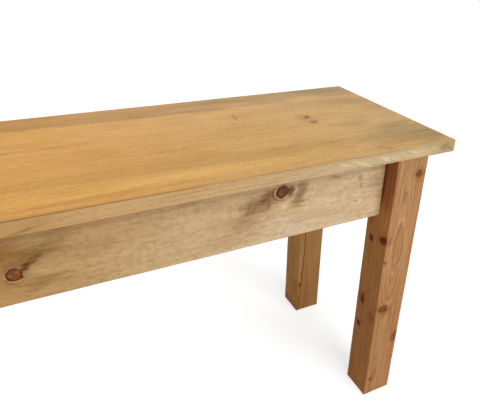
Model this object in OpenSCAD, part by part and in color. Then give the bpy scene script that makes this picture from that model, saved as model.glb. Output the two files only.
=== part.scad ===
// Farmhouse bench: a plank seat on four square legs, joined by four aprons.
// Each leg is drawn against the apron ends by a hanger bolt through a corner block.
// The origin is on the floor, under the middle of the seat. The front faces -Y.

/* [Bench] */
// Length of the seat, from end to end
bench_length = 1220; // [1000:10:1800]
// Depth of the seat, from front to back
seat_depth = 298; // [260:1:400]
// Height of the top of the seat above the floor
bench_height = 457; // [380:1:520]

/* [Seat plank] */
// Thickness of the seat plank
seat_thick = 17.5; // [15:0.5:32]
// How far the seat runs past the legs at each end
end_overhang = 44; // [20:1:90]
// How far the seat runs past the legs at the front and at the back
side_overhang = 2; // [0:0.5:12]
// Width of the eased edges of the seat
seat_ease = 0.8; // [0.2:0.1:2]

/* [Legs] */
// Width of a leg, the same on all four faces
leg_w = 51; // [46:1:70]
// Width of the eased edges of a leg
leg_ease = 1; // [0.2:0.1:2]
// How much of a leg's inner corner is planed away to give its bolt a flat
leg_flat = 6; // [4:0.5:9]

/* [Aprons] */
// Height of the aprons
apron_height = 95; // [84:1:140]
// Thickness of the aprons
apron_thick = 19; // [17:0.5:24]
// How far the aprons stand back from the outer faces of the legs
apron_setback = 25.5; // [8:0.5:26]
// Width of the eased edges of the aprons
apron_ease = 0.6; // [0.2:0.1:1.5]

/* [Corner blocks] */
// Thickness of a corner block, across the corner
block_thick = 22; // [18:1:26]
// Height of a corner block
block_height = 60; // [52:1:68]
// Gap between a corner block and its leg, so that the nut draws the leg in
block_gap = 7; // [4:0.5:9]
// Height between the two screws in each wing of a corner block
block_screw_rise = 36; // [28:1:40]
// Wood left under the head of each screw in a corner block
block_screw_seat = 8; // [6:0.5:10]

/* [Battens] */
// Width of a batten
batten_w = 60; // [40:1:80]
// Thickness of a batten
batten_thick = 19; // [16:0.5:25]
// How deep the batten ends are let into the aprons
batten_housing = 6; // [4:0.5:9]
// Width of the eased edges of a batten
batten_ease = 0.6; // [0.2:0.1:1.5]
// How far the seat can creep along the batten's slots as it swells and shrinks
slot_travel = 6; // [3:0.5:10]

/* [Seat buttons] */
// Width of a button, along the apron
button_w = 30; // [24:1:34]
// Length of a button's body, without its tongue
button_length = 28; // [22:1:34]
// Room left between a button's body and the apron
button_room = 4; // [2:0.5:6]
// Thickness of the tongue that hooks into the apron's groove
tongue_thick = 6; // [4:0.5:8]
// How far the tongue reaches into the groove
tongue_reach = 8; // [5:0.5:8]
// Depth of the groove in the apron
groove_depth = 9; // [8.5:0.5:12]
// Wood between the top of the apron and the groove
groove_drop = 9; // [7:0.5:12]

/* [Bolts] */
// Diameter of a hanger bolt
bolt_d = 8; // [6:0.5:10]
// How far a hanger bolt is screwed into its leg
bolt_bite = 38; // [25:1:42]
// How far a hanger bolt stands out past its nut
bolt_spare = 5; // [2:0.5:10]
// Width of a nut across its flats
nut_flats = 13; // [12.5:0.5:17]
// Height of a nut
nut_height = 6.5; // [5:0.5:8]
// Outer diameter of a washer
washer_d = 18; // [16:0.5:24]
// Thickness of a washer
washer_thick = 1.6; // [1:0.1:2.5]

/* [Screws] */
// Diameter of a screw's shank
screw_d = 4.2; // [3.5:0.1:5]
// Diameter of a screw's head
screw_head_d = 8.2; // [7.4:0.1:9.4]
// Height of a screw's head
screw_head_h = 2.8; // [2:0.1:3.5]
// How far the screws from below reach into the seat
seat_bite = 11; // [8:0.5:13]
// How far the screws in the corner blocks reach into the aprons
apron_bite = 13; // [9:0.5:14]

/* [Fits] */
// Clearance at each side of wood in a housing or a groove
wood_fit = 0.2; // [0.1:0.05:0.4]
// Clearance all round a screw or a bolt in its pilot hole
pilot_fit = 0.1; // [0.05:0.05:0.2]
// Clearance all round a bolt in its corner block, washer and nut
bolt_fit = 0.4; // [0.2:0.1:0.6]
// Clearance all round a screw's head in its counterbore
head_fit = 0.6; // [0.3:0.1:1]

/* [Hidden] */

// Smoothness of the round parts
$fn = 48;

// How far a cut runs past the wood that it opens
overrun = 2;

// Share of the clear length between the legs at which the outer battens stand from the middle
batten_place_share = 0.28;
// The same for the buttons along the front and back aprons
button_place_shares = [-0.41, -0.14, 0.14, 0.41];
// Share of the room between the aprons at which the outer batten screws stand from the middle
batten_screw_share = 0.72;
// Size of a screw's cross slots, as shares of the diameter of its head
slot_width_share = 0.14;
slot_length_share = 0.6;
// Depth of the cross slots, as a share of the height of the head
slot_depth_share = 0.55;
// Width of the crown of a screw's head, as a share of its diameter
crown_share = 0.7;
// Length and width of the point of a screw or a bolt, as shares of its diameter
point_length_share = 1.2;
point_width_share = 0.2;
// Width of the bevelled tip of a bolt and of the bevelled ends of a nut, as shares of the full width
tip_share = 0.8;

// Height of the legs, which is also the underside of the seat
leg_height = bench_height - seat_thick;
// Centre of a leg, measured from the middle of the bench
leg_x = bench_length / 2 - end_overhang - leg_w / 2;
leg_y = seat_depth / 2 - side_overhang - leg_w / 2;

// How far a leg's inner corner stands inside the inner faces of its two aprons
leg_inset = leg_w - apron_setback - apron_thick;
// Inner faces of the end aprons and of the long aprons: where they cross is a corner's own origin
corner_x = leg_x - leg_w / 2 + leg_inset;
corner_y = leg_y - leg_w / 2 + leg_inset;
// Clear length between the legs
clear_length = 2 * (corner_x - leg_inset);

// Height of the middle of the aprons, where the bolts lie
bolt_z = leg_height - apron_height / 2;
// Places along the corner's diagonal, from the corner's origin towards the middle of the bench
flat_at = (2 * leg_inset - leg_flat) / sqrt(2);
block_outer = flat_at + block_gap;
block_inner = block_outer + block_thick;
nut_at = block_inner + washer_thick;
bolt_length = nut_at + nut_height + bolt_spare - flat_at + bolt_bite;

// Place of a block's screws along each apron, from the corner's origin
wing_at = (block_outer + block_inner) / sqrt(2);
// Thickness of a block's wing, square to the apron, where its screws stand
wing_thick = block_thick / sqrt(2) + screw_head_d;

// Underside of the buttons and of the groove's upper wall
button_height = groove_drop + tongue_thick;
button_z = leg_height - button_height;
groove_height = tongue_thick + 2 * wood_fit;
// Middle of a button's body, from the inner face of its apron
button_mid = button_room + button_length / 2;

// Places of the battens, and of the screws along each batten
batten_xs = [for (side = [-1, 0, 1]) side * batten_place_share * clear_length];
batten_screw_ys = [for (side = [-1, 0, 1]) side * batten_screw_share * corner_y];
// Places of the buttons along the front and back aprons, and of every button's screw
button_xs = [for (share = button_place_shares) share * clear_length];
button_spots = concat(
    [for (side = [-1, 1], x = button_xs) [x, side * (corner_y - button_mid)]],
    [for (side = [-1, 1]) [side * (corner_x - button_mid), 0]]
);

seat_color = [0.84, 0.65, 0.38];
apron_color = [0.80, 0.68, 0.50];
leg_color = [0.66, 0.45, 0.26];
block_color = [0.78, 0.62, 0.42];
steel_color = [0.62, 0.63, 0.65];

// Shapes that repeat

// A rectangle about the origin with its corners cut by the width of the eased edge
module eased_rectangle(width, height, ease) {
    x = width / 2;
    y = height / 2;
    polygon([
        [ease - x, -y], [x - ease, -y], [x, ease - y], [x, y - ease],
        [x - ease, y], [ease - x, y], [-x, y - ease], [-x, ease - y]
    ]);
}

// A board about the origin with all twelve of its edges eased
module eased_board(size, ease) {
    intersection() {
        linear_extrude(size.z, center = true) eased_rectangle(size.x, size.y, ease);
        rotate([90, 0, 0])
            linear_extrude(size.y, center = true) eased_rectangle(size.x, size.z, ease);
        rotate([90, 0, 90])
            linear_extrude(size.x, center = true) eased_rectangle(size.y, size.z, ease);
    }
}

// A shank along +Z that starts at the origin and ends in a point
module pointed_shank(diameter, length) {
    point = diameter * point_length_share;
    cylinder(d = diameter, h = length - point);
    translate([0, 0, length - point])
        cylinder(d1 = diameter, d2 = diameter * point_width_share, h = point);
}

// A pan head screw along +Z, with the seat of its head at the origin
module pan_screw(length) {
    crown = screw_head_h / 2;
    slot = [screw_head_d * slot_length_share, screw_head_d * slot_width_share,
            screw_head_h * slot_depth_share];
    pointed_shank(screw_d, length);
    difference() {
        union() {
            translate([0, 0, -crown]) cylinder(d = screw_head_d, h = crown);
            translate([0, 0, -screw_head_h])
                cylinder(d1 = screw_head_d * crown_share, d2 = screw_head_d, h = crown);
        }
        for (turn = [0, 90])
            rotate([0, 0, turn])
                translate([-slot.x / 2, -slot.y / 2, -screw_head_h - overrun])
                    cube([slot.x, slot.y, slot.z + overrun]);
    }
}

// Pilot hole along +Z for a screw that reaches this far past the origin
module screw_pilot(reach) {
    translate([0, 0, -overrun])
        cylinder(d = screw_d + 2 * pilot_fit, h = reach + pilot_fit + overrun);
}

// Moves its children to a corner: x is +1 for right and -1 for left, y is +1 for back.
// Inside, the origin is where the aprons' inner faces cross, and +X and +Y point inwards.
module at_corner(x, y) {
    mirror([x < 0 ? 1 : 0, 0, 0])
        mirror([0, y < 0 ? 1 : 0, 0])
            translate([corner_x, corner_y, 0])
                rotate([0, 0, 180])
                    children();
}

module at_each_corner() {
    for (x = [-1, 1], y = [-1, 1])
        at_corner(x, y) children();
}

// Turns +X of its children to the diagonal of a corner, at the height of the bolt
module along_diagonal(distance) {
    rotate([0, 0, 45])
        translate([distance, 0, bolt_z])
            rotate([0, 90, 0])
                children();
}

// Places its children at each screw of a corner block, in the corner's frame,
// with +Z into the apron and the origin where the head seats
module at_wing_screws() {
    for (rise = [-0.5, 0.5]) {
        z = bolt_z + rise * block_screw_rise;
        translate([wing_at, block_screw_seat, z]) rotate([90, 0, 0]) children();
        translate([block_screw_seat, wing_at, z]) rotate([0, -90, 0]) children();
    }
}

// Legs

// One leg in its corner's frame, with the flat and the hole for its hanger bolt
module corner_leg() {
    middle = leg_inset - leg_w / 2;
    color(leg_color)
    difference() {
        translate([middle, middle, leg_height / 2])
            eased_board([leg_w, leg_w, leg_height], leg_ease);
        rotate([0, 0, 45])
            translate([flat_at, -leg_w / 2, leg_height - apron_height])
                cube([leg_flat, leg_w, apron_height + overrun]);
        along_diagonal(flat_at - bolt_bite - pilot_fit)
            cylinder(d = bolt_d + 2 * pilot_fit, h = bolt_bite + pilot_fit + overrun);
    }
}

module front_left_leg() { at_corner(-1, -1) corner_leg(); }
module front_right_leg() { at_corner(1, -1) corner_leg(); }
module back_left_leg() { at_corner(-1, 1) corner_leg(); }
module back_right_leg() { at_corner(1, 1) corner_leg(); }

// Aprons

// One apron along X with its inner face on the XZ plane and its outer face towards +Y.
// The corner is the distance from the middle to the corner's origin at each end.
module apron(corner, housings = []) {
    length = 2 * (corner - leg_inset);
    color(apron_color)
    difference() {
        translate([0, apron_thick / 2, bolt_z])
            eased_board([length, apron_thick, apron_height], apron_ease);
        translate([-length / 2 - overrun, -overrun, button_z - 2 * wood_fit])
            cube([length + 2 * overrun, groove_depth + overrun, groove_height]);
        for (x = housings)
            translate([x - batten_w / 2 - wood_fit, -overrun, leg_height - batten_thick])
                cube([batten_w + 2 * wood_fit, batten_housing + wood_fit + overrun,
                      batten_thick + overrun]);
        for (side = [-1, 1], rise = [-0.5, 0.5])
            translate([side * (corner - wing_at), 0, bolt_z + rise * block_screw_rise])
                rotate([-90, 0, 0])
                    screw_pilot(apron_bite);
    }
}

module back_apron() { translate([0, corner_y, 0]) apron(corner_x, batten_xs); }
module front_apron() { mirror([0, 1, 0]) back_apron(); }
module right_apron() { translate([corner_x, 0, 0]) rotate([0, 0, -90]) apron(corner_y); }
module left_apron() { mirror([1, 0, 0]) right_apron(); }

// Corner blocks

// One corner block in its corner's frame, with the bolt's hole and its counterbored screw holes
module corner_block() {
    near = block_outer * sqrt(2);
    far = block_inner * sqrt(2);
    color(block_color)
    difference() {
        translate([0, 0, bolt_z])
            linear_extrude(block_height, center = true)
                polygon([[near, 0], [far, 0], [0, far], [0, near]]);
        along_diagonal(block_outer - overrun)
            cylinder(d = bolt_d + 2 * bolt_fit, h = block_thick + 2 * overrun);
        at_wing_screws() {
            screw_pilot(block_screw_seat + overrun);
            translate([0, 0, -wing_thick])
                cylinder(d = screw_head_d + 2 * head_fit, h = wing_thick);
        }
    }
}

module front_left_block() { at_corner(-1, -1) corner_block(); }
module front_right_block() { at_corner(1, -1) corner_block(); }
module back_left_block() { at_corner(-1, 1) corner_block(); }
module back_right_block() { at_corner(1, 1) corner_block(); }

// Battens

// A slot along Y for a screw, centred on the origin, or a round hole where the travel is zero
module screw_slot(travel, depth) {
    hole_d = screw_d + 2 * pilot_fit;
    if (travel == 0)
        cylinder(d = hole_d, h = depth);
    else {
        for (side = [-0.5, 0.5])
            translate([0, side * travel, 0]) cylinder(d = hole_d, h = depth);
        translate([-hole_d / 2, -travel / 2, 0]) cube([hole_d, travel, depth]);
    }
}

// One batten across the bench, with a round hole in its middle and slots towards its ends
module batten(x) {
    color(block_color)
    difference() {
        translate([x, 0, leg_height - batten_thick / 2])
            eased_board([batten_w, 2 * (corner_y + batten_housing), batten_thick], batten_ease);
        for (y = batten_screw_ys)
            translate([x, y, leg_height - batten_thick - overrun])
                screw_slot(y == 0 ? 0 : slot_travel, batten_thick + 2 * overrun);
    }
}

module left_batten() { batten(batten_xs[0]); }
module middle_batten() { batten(batten_xs[1]); }
module right_batten() { batten(batten_xs[2]); }

// Seat and its buttons

// The seat plank, with a blind hole under it for each screw from below
module seat_plank() {
    color(seat_color)
    difference() {
        translate([0, 0, leg_height + seat_thick / 2])
            eased_board([bench_length, seat_depth, seat_thick], seat_ease);
        for (x = batten_xs, y = batten_screw_ys)
            translate([x, y, leg_height]) screw_pilot(seat_bite);
        for (spot = button_spots)
            translate([spot.x, spot.y, leg_height]) screw_pilot(seat_bite);
    }
}

// One button: it reaches from its screw at the origin towards +Y, where its tongue hooks in
module seat_button() {
    back = -button_length / 2;
    front = button_length / 2;
    tip = front + button_room + tongue_reach;
    color(block_color)
    difference() {
        translate([-button_w / 2, 0, button_z])
            rotate([90, 0, 90])
                linear_extrude(button_w)
                    polygon([
                        [back, 0], [tip, 0], [tip, tongue_thick],
                        [front, tongue_thick], [front, button_height], [back, button_height]
                    ]);
        translate([0, 0, button_z]) screw_pilot(button_height + overrun);
    }
}

module seat_buttons() {
    for (spot = button_spots)
        translate([spot.x, spot.y, 0])
            rotate([0, 0, spot.y > 0 ? 0 : spot.y < 0 ? 180 : spot.x > 0 ? -90 : 90])
                seat_button();
}

// Fasteners

// One hanger bolt in its corner's frame: the pointed end is in the leg
module hanger_bolt() {
    tip = bolt_d * (1 - tip_share);
    color(steel_color)
    along_diagonal(flat_at - bolt_bite + bolt_length - tip) {
        rotate([180, 0, 0]) pointed_shank(bolt_d, bolt_length - tip);
        cylinder(d1 = bolt_d, d2 = bolt_d * tip_share, h = tip);
    }
}

module bolt_washer() {
    color(steel_color)
    along_diagonal(block_inner)
        difference() {
            cylinder(d = washer_d, h = washer_thick);
            translate([0, 0, -overrun])
                cylinder(d = bolt_d + 2 * bolt_fit, h = washer_thick + 2 * overrun);
        }
}

// One hexagon nut, its outer corners bevelled by a cone
module bolt_nut() {
    across_corners = nut_flats / cos(30);
    color(steel_color)
    along_diagonal(nut_at)
        difference() {
            intersection() {
                cylinder(d = across_corners, h = nut_height, $fn = 6);
                cylinder(d1 = across_corners + nut_height, d2 = nut_flats, h = nut_height);
            }
            translate([0, 0, -overrun])
                cylinder(d = bolt_d + 2 * pilot_fit, h = nut_height + 2 * overrun);
        }
}

module hanger_bolts() { at_each_corner() hanger_bolt(); }
module bolt_washers() { at_each_corner() bolt_washer(); }
module bolt_nuts() { at_each_corner() bolt_nut(); }

module block_screws() {
    at_each_corner()
        at_wing_screws()
            color(steel_color) pan_screw(block_screw_seat + apron_bite);
}

module batten_screws() {
    for (x = batten_xs, y = batten_screw_ys)
        translate([x, y, leg_height - batten_thick])
            color(steel_color) pan_screw(batten_thick + seat_bite);
}

module button_screws() {
    for (spot = button_spots)
        translate([spot.x, spot.y, button_z])
            color(steel_color) pan_screw(button_height + seat_bite);
}

seat_plank();
front_apron();
back_apron();
left_apron();
right_apron();
front_left_leg();
front_right_leg();
back_left_leg();
back_right_leg();
front_left_block();
front_right_block();
back_left_block();
back_right_block();
left_batten();
middle_batten();
right_batten();
seat_buttons();
hanger_bolts();
bolt_washers();
bolt_nuts();
block_screws();
batten_screws();
button_screws();
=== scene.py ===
"""Farmhouse bench: its pine timbers with their marks and finish, the steel fixings and a plain studio.

Lengths are in millimetres in the frame of the bench, as a maker writes them: X along the seat, the front
towards -Y and Z up from the floor. MM turns them into Blender's metres.
"""

import logging
import math
from collections.abc import Callable, Iterable
from dataclasses import dataclass, field, replace
from enum import Enum
from functools import cache, cached_property
from typing import ClassVar

import bmesh
import bpy
from mathutils import Euler, Matrix, Vector, noise


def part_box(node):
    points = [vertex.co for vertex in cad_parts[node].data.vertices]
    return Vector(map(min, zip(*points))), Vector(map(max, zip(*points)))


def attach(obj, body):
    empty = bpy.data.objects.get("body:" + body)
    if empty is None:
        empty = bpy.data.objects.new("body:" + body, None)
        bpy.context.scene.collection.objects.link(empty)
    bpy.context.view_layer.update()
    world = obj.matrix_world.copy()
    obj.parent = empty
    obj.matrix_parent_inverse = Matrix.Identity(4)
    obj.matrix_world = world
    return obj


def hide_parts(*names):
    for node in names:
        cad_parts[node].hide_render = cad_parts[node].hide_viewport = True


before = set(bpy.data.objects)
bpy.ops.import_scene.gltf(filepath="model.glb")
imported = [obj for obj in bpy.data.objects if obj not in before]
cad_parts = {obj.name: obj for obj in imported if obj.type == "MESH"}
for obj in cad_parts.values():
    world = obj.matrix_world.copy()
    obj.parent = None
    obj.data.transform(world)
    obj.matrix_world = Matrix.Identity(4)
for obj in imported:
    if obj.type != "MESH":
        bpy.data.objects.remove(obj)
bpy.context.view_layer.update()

MM = 0.001
NOISE_SEED = 4

Flat = tuple[float, float]
Point = tuple[float, float, float]
Rgb = tuple[int, int, int]
Tint = tuple[float, float, float]
Operand = bpy.types.NodeSocket | float | tuple[float, ...]
Sockets = dict[str, bpy.types.NodeSocket]

ZERO: Point = (0.0, 0.0, 0.0)
UNIT: Point = (1.0, 1.0, 1.0)
BLACK = (0.0, 0.0, 0.0, 1.0)
WHITE = (1.0, 1.0, 1.0, 1.0)

log = logging.getLogger("bench")


def linear(rgb: Rgb) -> tuple[float, float, float, float]:
    """Turns a colour in steps of 0 to 255 into the linear colour that a shader takes.

    Args:
        rgb: Red, green and blue, as read off a screen.

    Returns:
        The linear colour with full alpha.
    """
    knee, slope, offset, power = 0.04045, 12.92, 0.055, 2.4
    shares = [step / 255 for step in rgb]
    parts = [s / slope if s <= knee else ((s + offset) / (1 + offset)) ** power for s in shares]
    return (*parts, 1.0)


@cache
def corners(node: str) -> tuple[Vector, Vector]:
    """Gives the lowest and the highest corner of a node of the frame.

    Args:
        node: Its name.

    Returns:
        The two corners in millimetres, which can't be changed.
    """
    low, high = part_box(node)
    return (low / MM).freeze(), (high / MM).freeze()


class Grain(Enum):
    """The direction in which a timber's fibres run, as the order of its axes: along, then the two across."""

    ALONG_X = (0, 1, 2)
    ALONG_Y = (1, 2, 0)
    ALONG_Z = (2, 0, 1)


class Face(Enum):
    """A side of a timber, as the direction that it looks in."""

    LEFT = (-1.0, 0.0, 0.0)
    RIGHT = (1.0, 0.0, 0.0)
    FRONT = (0.0, -1.0, 0.0)
    BACK = (0.0, 1.0, 0.0)
    UNDER = (0.0, 0.0, -1.0)
    TOP = (0.0, 0.0, 1.0)

    @property
    def axis(self) -> int:
        """The axis that the face looks along."""
        return max(range(3), key=lambda i: abs(self.value[i]))

    @property
    def sign(self) -> float:
        """Plus or minus one, as the face looks up or down its axis."""
        return self.value[self.axis]


@dataclass(frozen=True)
class Side:
    """One face of a node, on which marks are placed by two coordinates in the order X, Y, Z.

    Attributes:
        face: The direction that it looks in.
        plane: Where it lies on the axis that it looks along.
        bite: How deep its patches of staining and painted light reach where they don't say so.
    """

    face: Face
    plane: float
    bite: float

    def lift(self, flat: Flat, height: float) -> Point:
        """Adds the coordinate on the face's own axis to the other two.

        Args:
            flat: The other two coordinates, in the order X, Y, Z.
            height: The coordinate to add.

        Returns:
            The point.
        """
        point = list(flat)
        point.insert(self.face.axis, height)
        return tuple(point)


class Sides:
    """The six faces of a node, with their places taken from the frame."""

    def __init__(self, node: str, bite: float) -> None:
        """Takes the faces of a node, and how deep their patches of staining and painted light usually reach.

        Args:
            node: Its name.
            bite: How deep the patches reach where they don't say so.
        """
        low, high = corners(node)
        self.left, self.right, self.front, self.back, self.under, self.top = (
            Side(face, (high if face.sign > 0 else low)[face.axis], bite) for face in Face
        )


@dataclass(frozen=True)
class KnotColours:
    """The colours of a knot from its heart outwards."""

    heart: Rgb
    rim: Rgb
    collar: Rgb
    halo: Tint
    collar_share: float
    soft: float = 0.12


class KnotKind(Enum):
    """The kinds of knot in these boards."""

    RED = KnotColours((136, 78, 50), (66, 34, 22), (202, 162, 116), (0.52, 0.45, 0.38), 1.0, 0.14)
    ORANGE = KnotColours((180, 110, 60), (62, 28, 20), (196, 150, 98), (0.62, 0.54, 0.44), 0.7, 0.10)
    DARK = KnotColours((118, 58, 26), (88, 36, 16), (158, 98, 58), (0.74, 0.50, 0.36), 0.1, 0.35)
    BROWN = KnotColours((146, 94, 62), (106, 58, 40), (164, 114, 74), (0.72, 0.60, 0.50), 0.1, 0.40)
    PIN = KnotColours((128, 58, 0), (110, 44, 0), (170, 120, 60), (0.80, 0.62, 0.40), 0.1, 0.50)
    FAINT = KnotColours((148, 92, 52), (100, 52, 28), (160, 110, 70), (0.74, 0.60, 0.48), 0.1, 0.40)
    OLIVE = KnotColours((154, 100, 0), (134, 82, 0), (180, 140, 80), (0.80, 0.70, 0.44), 0.1, 0.60)
    # HOLE is the inside of a small hole: its near black heart and rim are painted shade in the hole, its
    # collar and halo the wood round it.
    HOLE = KnotColours((74, 4, 8), (70, 12, 8), (90, 46, 28), (0.66, 0.40, 0.28), 0.1, 0.20)
    NONE = None


@dataclass(frozen=True)
class Mark:
    """A mark on one side of a timber.

    Attributes:
        side: The side that shows it.
        place: Its middle on that side.
        size: Its half sizes on that side.
    """

    side: Side
    place: Flat
    size: Flat

    @property
    def centre(self) -> Point:
        """Its middle in the frame of the bench."""
        return self.side.lift(self.place, self.side.plane)


@dataclass(frozen=True)
class Knot(Mark):
    """A branch cut through by a face.

    Attributes:
        depth: How deep the branch reaches.
        kind: Its colours.
        swirl: How far the growth rings bend outwards round it.
        turn: Degrees by which it is turned about the direction of its face.
        groove: Depth of the groove round it.
        lean: The direction in which its pale collar is widest.
    """

    depth: float
    kind: KnotKind
    swirl: float = 5.0
    turn: float = 0.0
    groove: float = 0.35
    lean: Flat = (0.0, 0.0)

    @property
    def radii(self) -> Point:
        """Its half sizes along X, Y and Z."""
        return self.side.lift(self.size, self.depth)

    @cached_property
    def middle(self) -> Vector:
        """Its centre, as a vector."""
        return Vector(self.centre)

    @cached_property
    def reach(self) -> float:
        """How far from its centre the knot marks the face."""
        return 1.25 * sorted(self.radii)[1]

    def gap(self, spot: Vector) -> float:
        """Gives the distance from a spot on the face to the outside of the knot."""
        return (spot - self.middle).length - self.reach

    def depth_at(self, spot: Vector) -> float:
        """Gives how far the heart of the knot and the groove round it are sunk.

        Args:
            spot: A place on the face.

        Returns:
            The depth, zero away from the knot.
        """
        if self.kind is KnotKind.NONE or self.gap(spot) > 0.0:
            return 0.0
        flat = [value for axis, value in enumerate(spot) if axis != self.side.face.axis]
        ring = math.hypot(*((at - middle) / half for at, middle, half in zip(flat, self.place, self.size)))
        ring += 0.1 * noise.noise(spot / 5.0)
        groove = math.exp(-(((ring - 1.0) / 0.1) ** 2))
        heart = 0.35 if ring < 0.95 else 0.0
        return self.groove * (groove + heart)


@dataclass(frozen=True)
class StainAndPaintedLight(Mark):
    """A patch that tints the wood: most are where the wood took its staining otherwise than round it, and
    some are painted light and shade.

    Attributes:
        tint: What the patch does to each colour: below one it darkens.
        turn: Degrees by which it is turned about the direction of its face.
        soft: Share of the patch over which it fades out.
        ragged: How far noise pushes its border in and out, as a share of its size.
        depth: How deep it reaches, or None for the usual depth on its side.
    """

    tint: Tint
    turn: float = 0.0
    soft: float = 0.9
    ragged: float = 0.5
    depth: float | None = None

    @property
    def radii(self) -> Point:
        """Its half sizes along X, Y and Z."""
        return self.side.lift(self.size, self.side.bite if self.depth is None else self.depth)


@dataclass(frozen=True)
class Check:
    """A drying crack or a small hole in a face.

    Attributes:
        side: The side that it opens on.
        course: The places on that side that it runs through.
        width: Its greatest width.
        depth: Its greatest depth.
        waver: How far it strays from its course.
    """

    side: Side
    course: tuple[Flat, ...]
    width: float
    depth: float
    waver: float

    @cached_property
    def points(self) -> list[Vector]:
        """Its course in the frame of the bench."""
        return [Vector(self.side.lift(place, self.side.plane)) for place in self.course]

    @cached_property
    def reach(self) -> float:
        return max((point - self.points[0]).length for point in self.points) + 2 * self.width

    @cached_property
    def stretches(self) -> list[tuple[Vector, Vector, float]]:
        """The straight stretches of its course, each as a start, a run and a length."""
        return [(a, b - a, (b - a).length) for a, b in zip(self.points, self.points[1:])]

    def miss(self, spot: Vector) -> tuple[float, float]:
        """Measures a spot against the course.

        Args:
            spot: A place on the face.

        Returns:
            The distance from the course, and how far along it the nearest place is, from zero to one.
        """
        run, best = 0.0, (math.inf, 0.0)
        total = sum(length for _, _, length in self.stretches)
        for start, stretch, length in self.stretches:
            share = min(max((spot - start).dot(stretch) / length**2, 0.0), 1.0)
            distance = (spot - start - stretch * share).length
            if distance < best[0]:
                best = (distance, (run + share * length) / total)
            run += length
        return best

    def gap(self, spot: Vector) -> float:
        """Gives the distance from a spot to the wood that the check disturbs."""
        return self.miss(spot)[0] - self.width

    def depth_at(self, spot: Vector) -> float:
        """Gives the depth of the crack under a spot on its face.

        Args:
            spot: A place on the face.

        Returns:
            The depth, zero outside the crack.
        """
        if (spot - self.points[0]).length > self.reach:
            return 0.0
        axis = self.side.face.axis
        strayed = spot + noise.noise_vector(spot * 0.35) * self.waver
        strayed[axis] = spot[axis]
        distance, along = self.miss(strayed)
        uneven = 0.8 + 0.5 * noise.noise(spot / 14.0)
        tapered = min(1.0, 0.4 + 8.0 * min(along, 1.0 - along))
        half = 0.5 * self.width * uneven * tapered
        return self.depth * math.sqrt(1.0 - (distance / half) ** 2) if distance < half else 0.0


@dataclass(frozen=True)
class Cut:
    """A box sawn away from a timber.

    Attributes:
        low: Its lowest corner before it is turned.
        high: Its highest corner before it is turned.
        turn: Degrees by which it is turned about an upright line through its middle.
    """

    low: Point
    high: Point
    turn: float = 0.0

    def sides(self, axis: int) -> list[float]:
        """Gives where the sides of a cut that isn't turned cross an axis."""
        return [] if self.turn else [self.low[axis], self.high[axis]]

    def build(self) -> bpy.types.Object:
        """Builds the cutter.

        Returns:
            A box that a Boolean modifier takes away.
        """
        low, high = Vector(self.low), Vector(self.high)
        work = bmesh.new()
        bmesh.ops.create_cube(work, size=1.0)
        bmesh.ops.scale(work, vec=high - low, verts=work.verts)
        turn = Matrix.Rotation(math.radians(self.turn), 3, "Z")
        bmesh.ops.rotate(work, cent=ZERO, matrix=turn, verts=work.verts)
        bmesh.ops.translate(work, vec=(low + high) / 2, verts=work.verts)
        return link_mesh(work, "cutter")


def link_mesh(work: bmesh.types.BMesh, name: str) -> bpy.types.Object:
    """Turns a finished bmesh into an object of the scene and frees it.

    Args:
        work: The bmesh.
        name: Name of the object and its mesh.

    Returns:
        The object, at the origin.
    """
    mesh = bpy.data.meshes.new(name)
    work.to_mesh(mesh)
    work.free()
    piece = bpy.data.objects.new(name, mesh)
    bpy.context.scene.collection.objects.link(piece)
    return piece


def dress_node(node: str, material: bpy.types.Material) -> None:
    """Gives a node of the frame a material in place of its own.

    Args:
        node: Its name.
        material: The material.
    """
    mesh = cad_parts[node].data
    mesh.materials.clear()
    mesh.materials.append(material)
    log.info("%s: dressed with %s", node, material.name)


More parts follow.
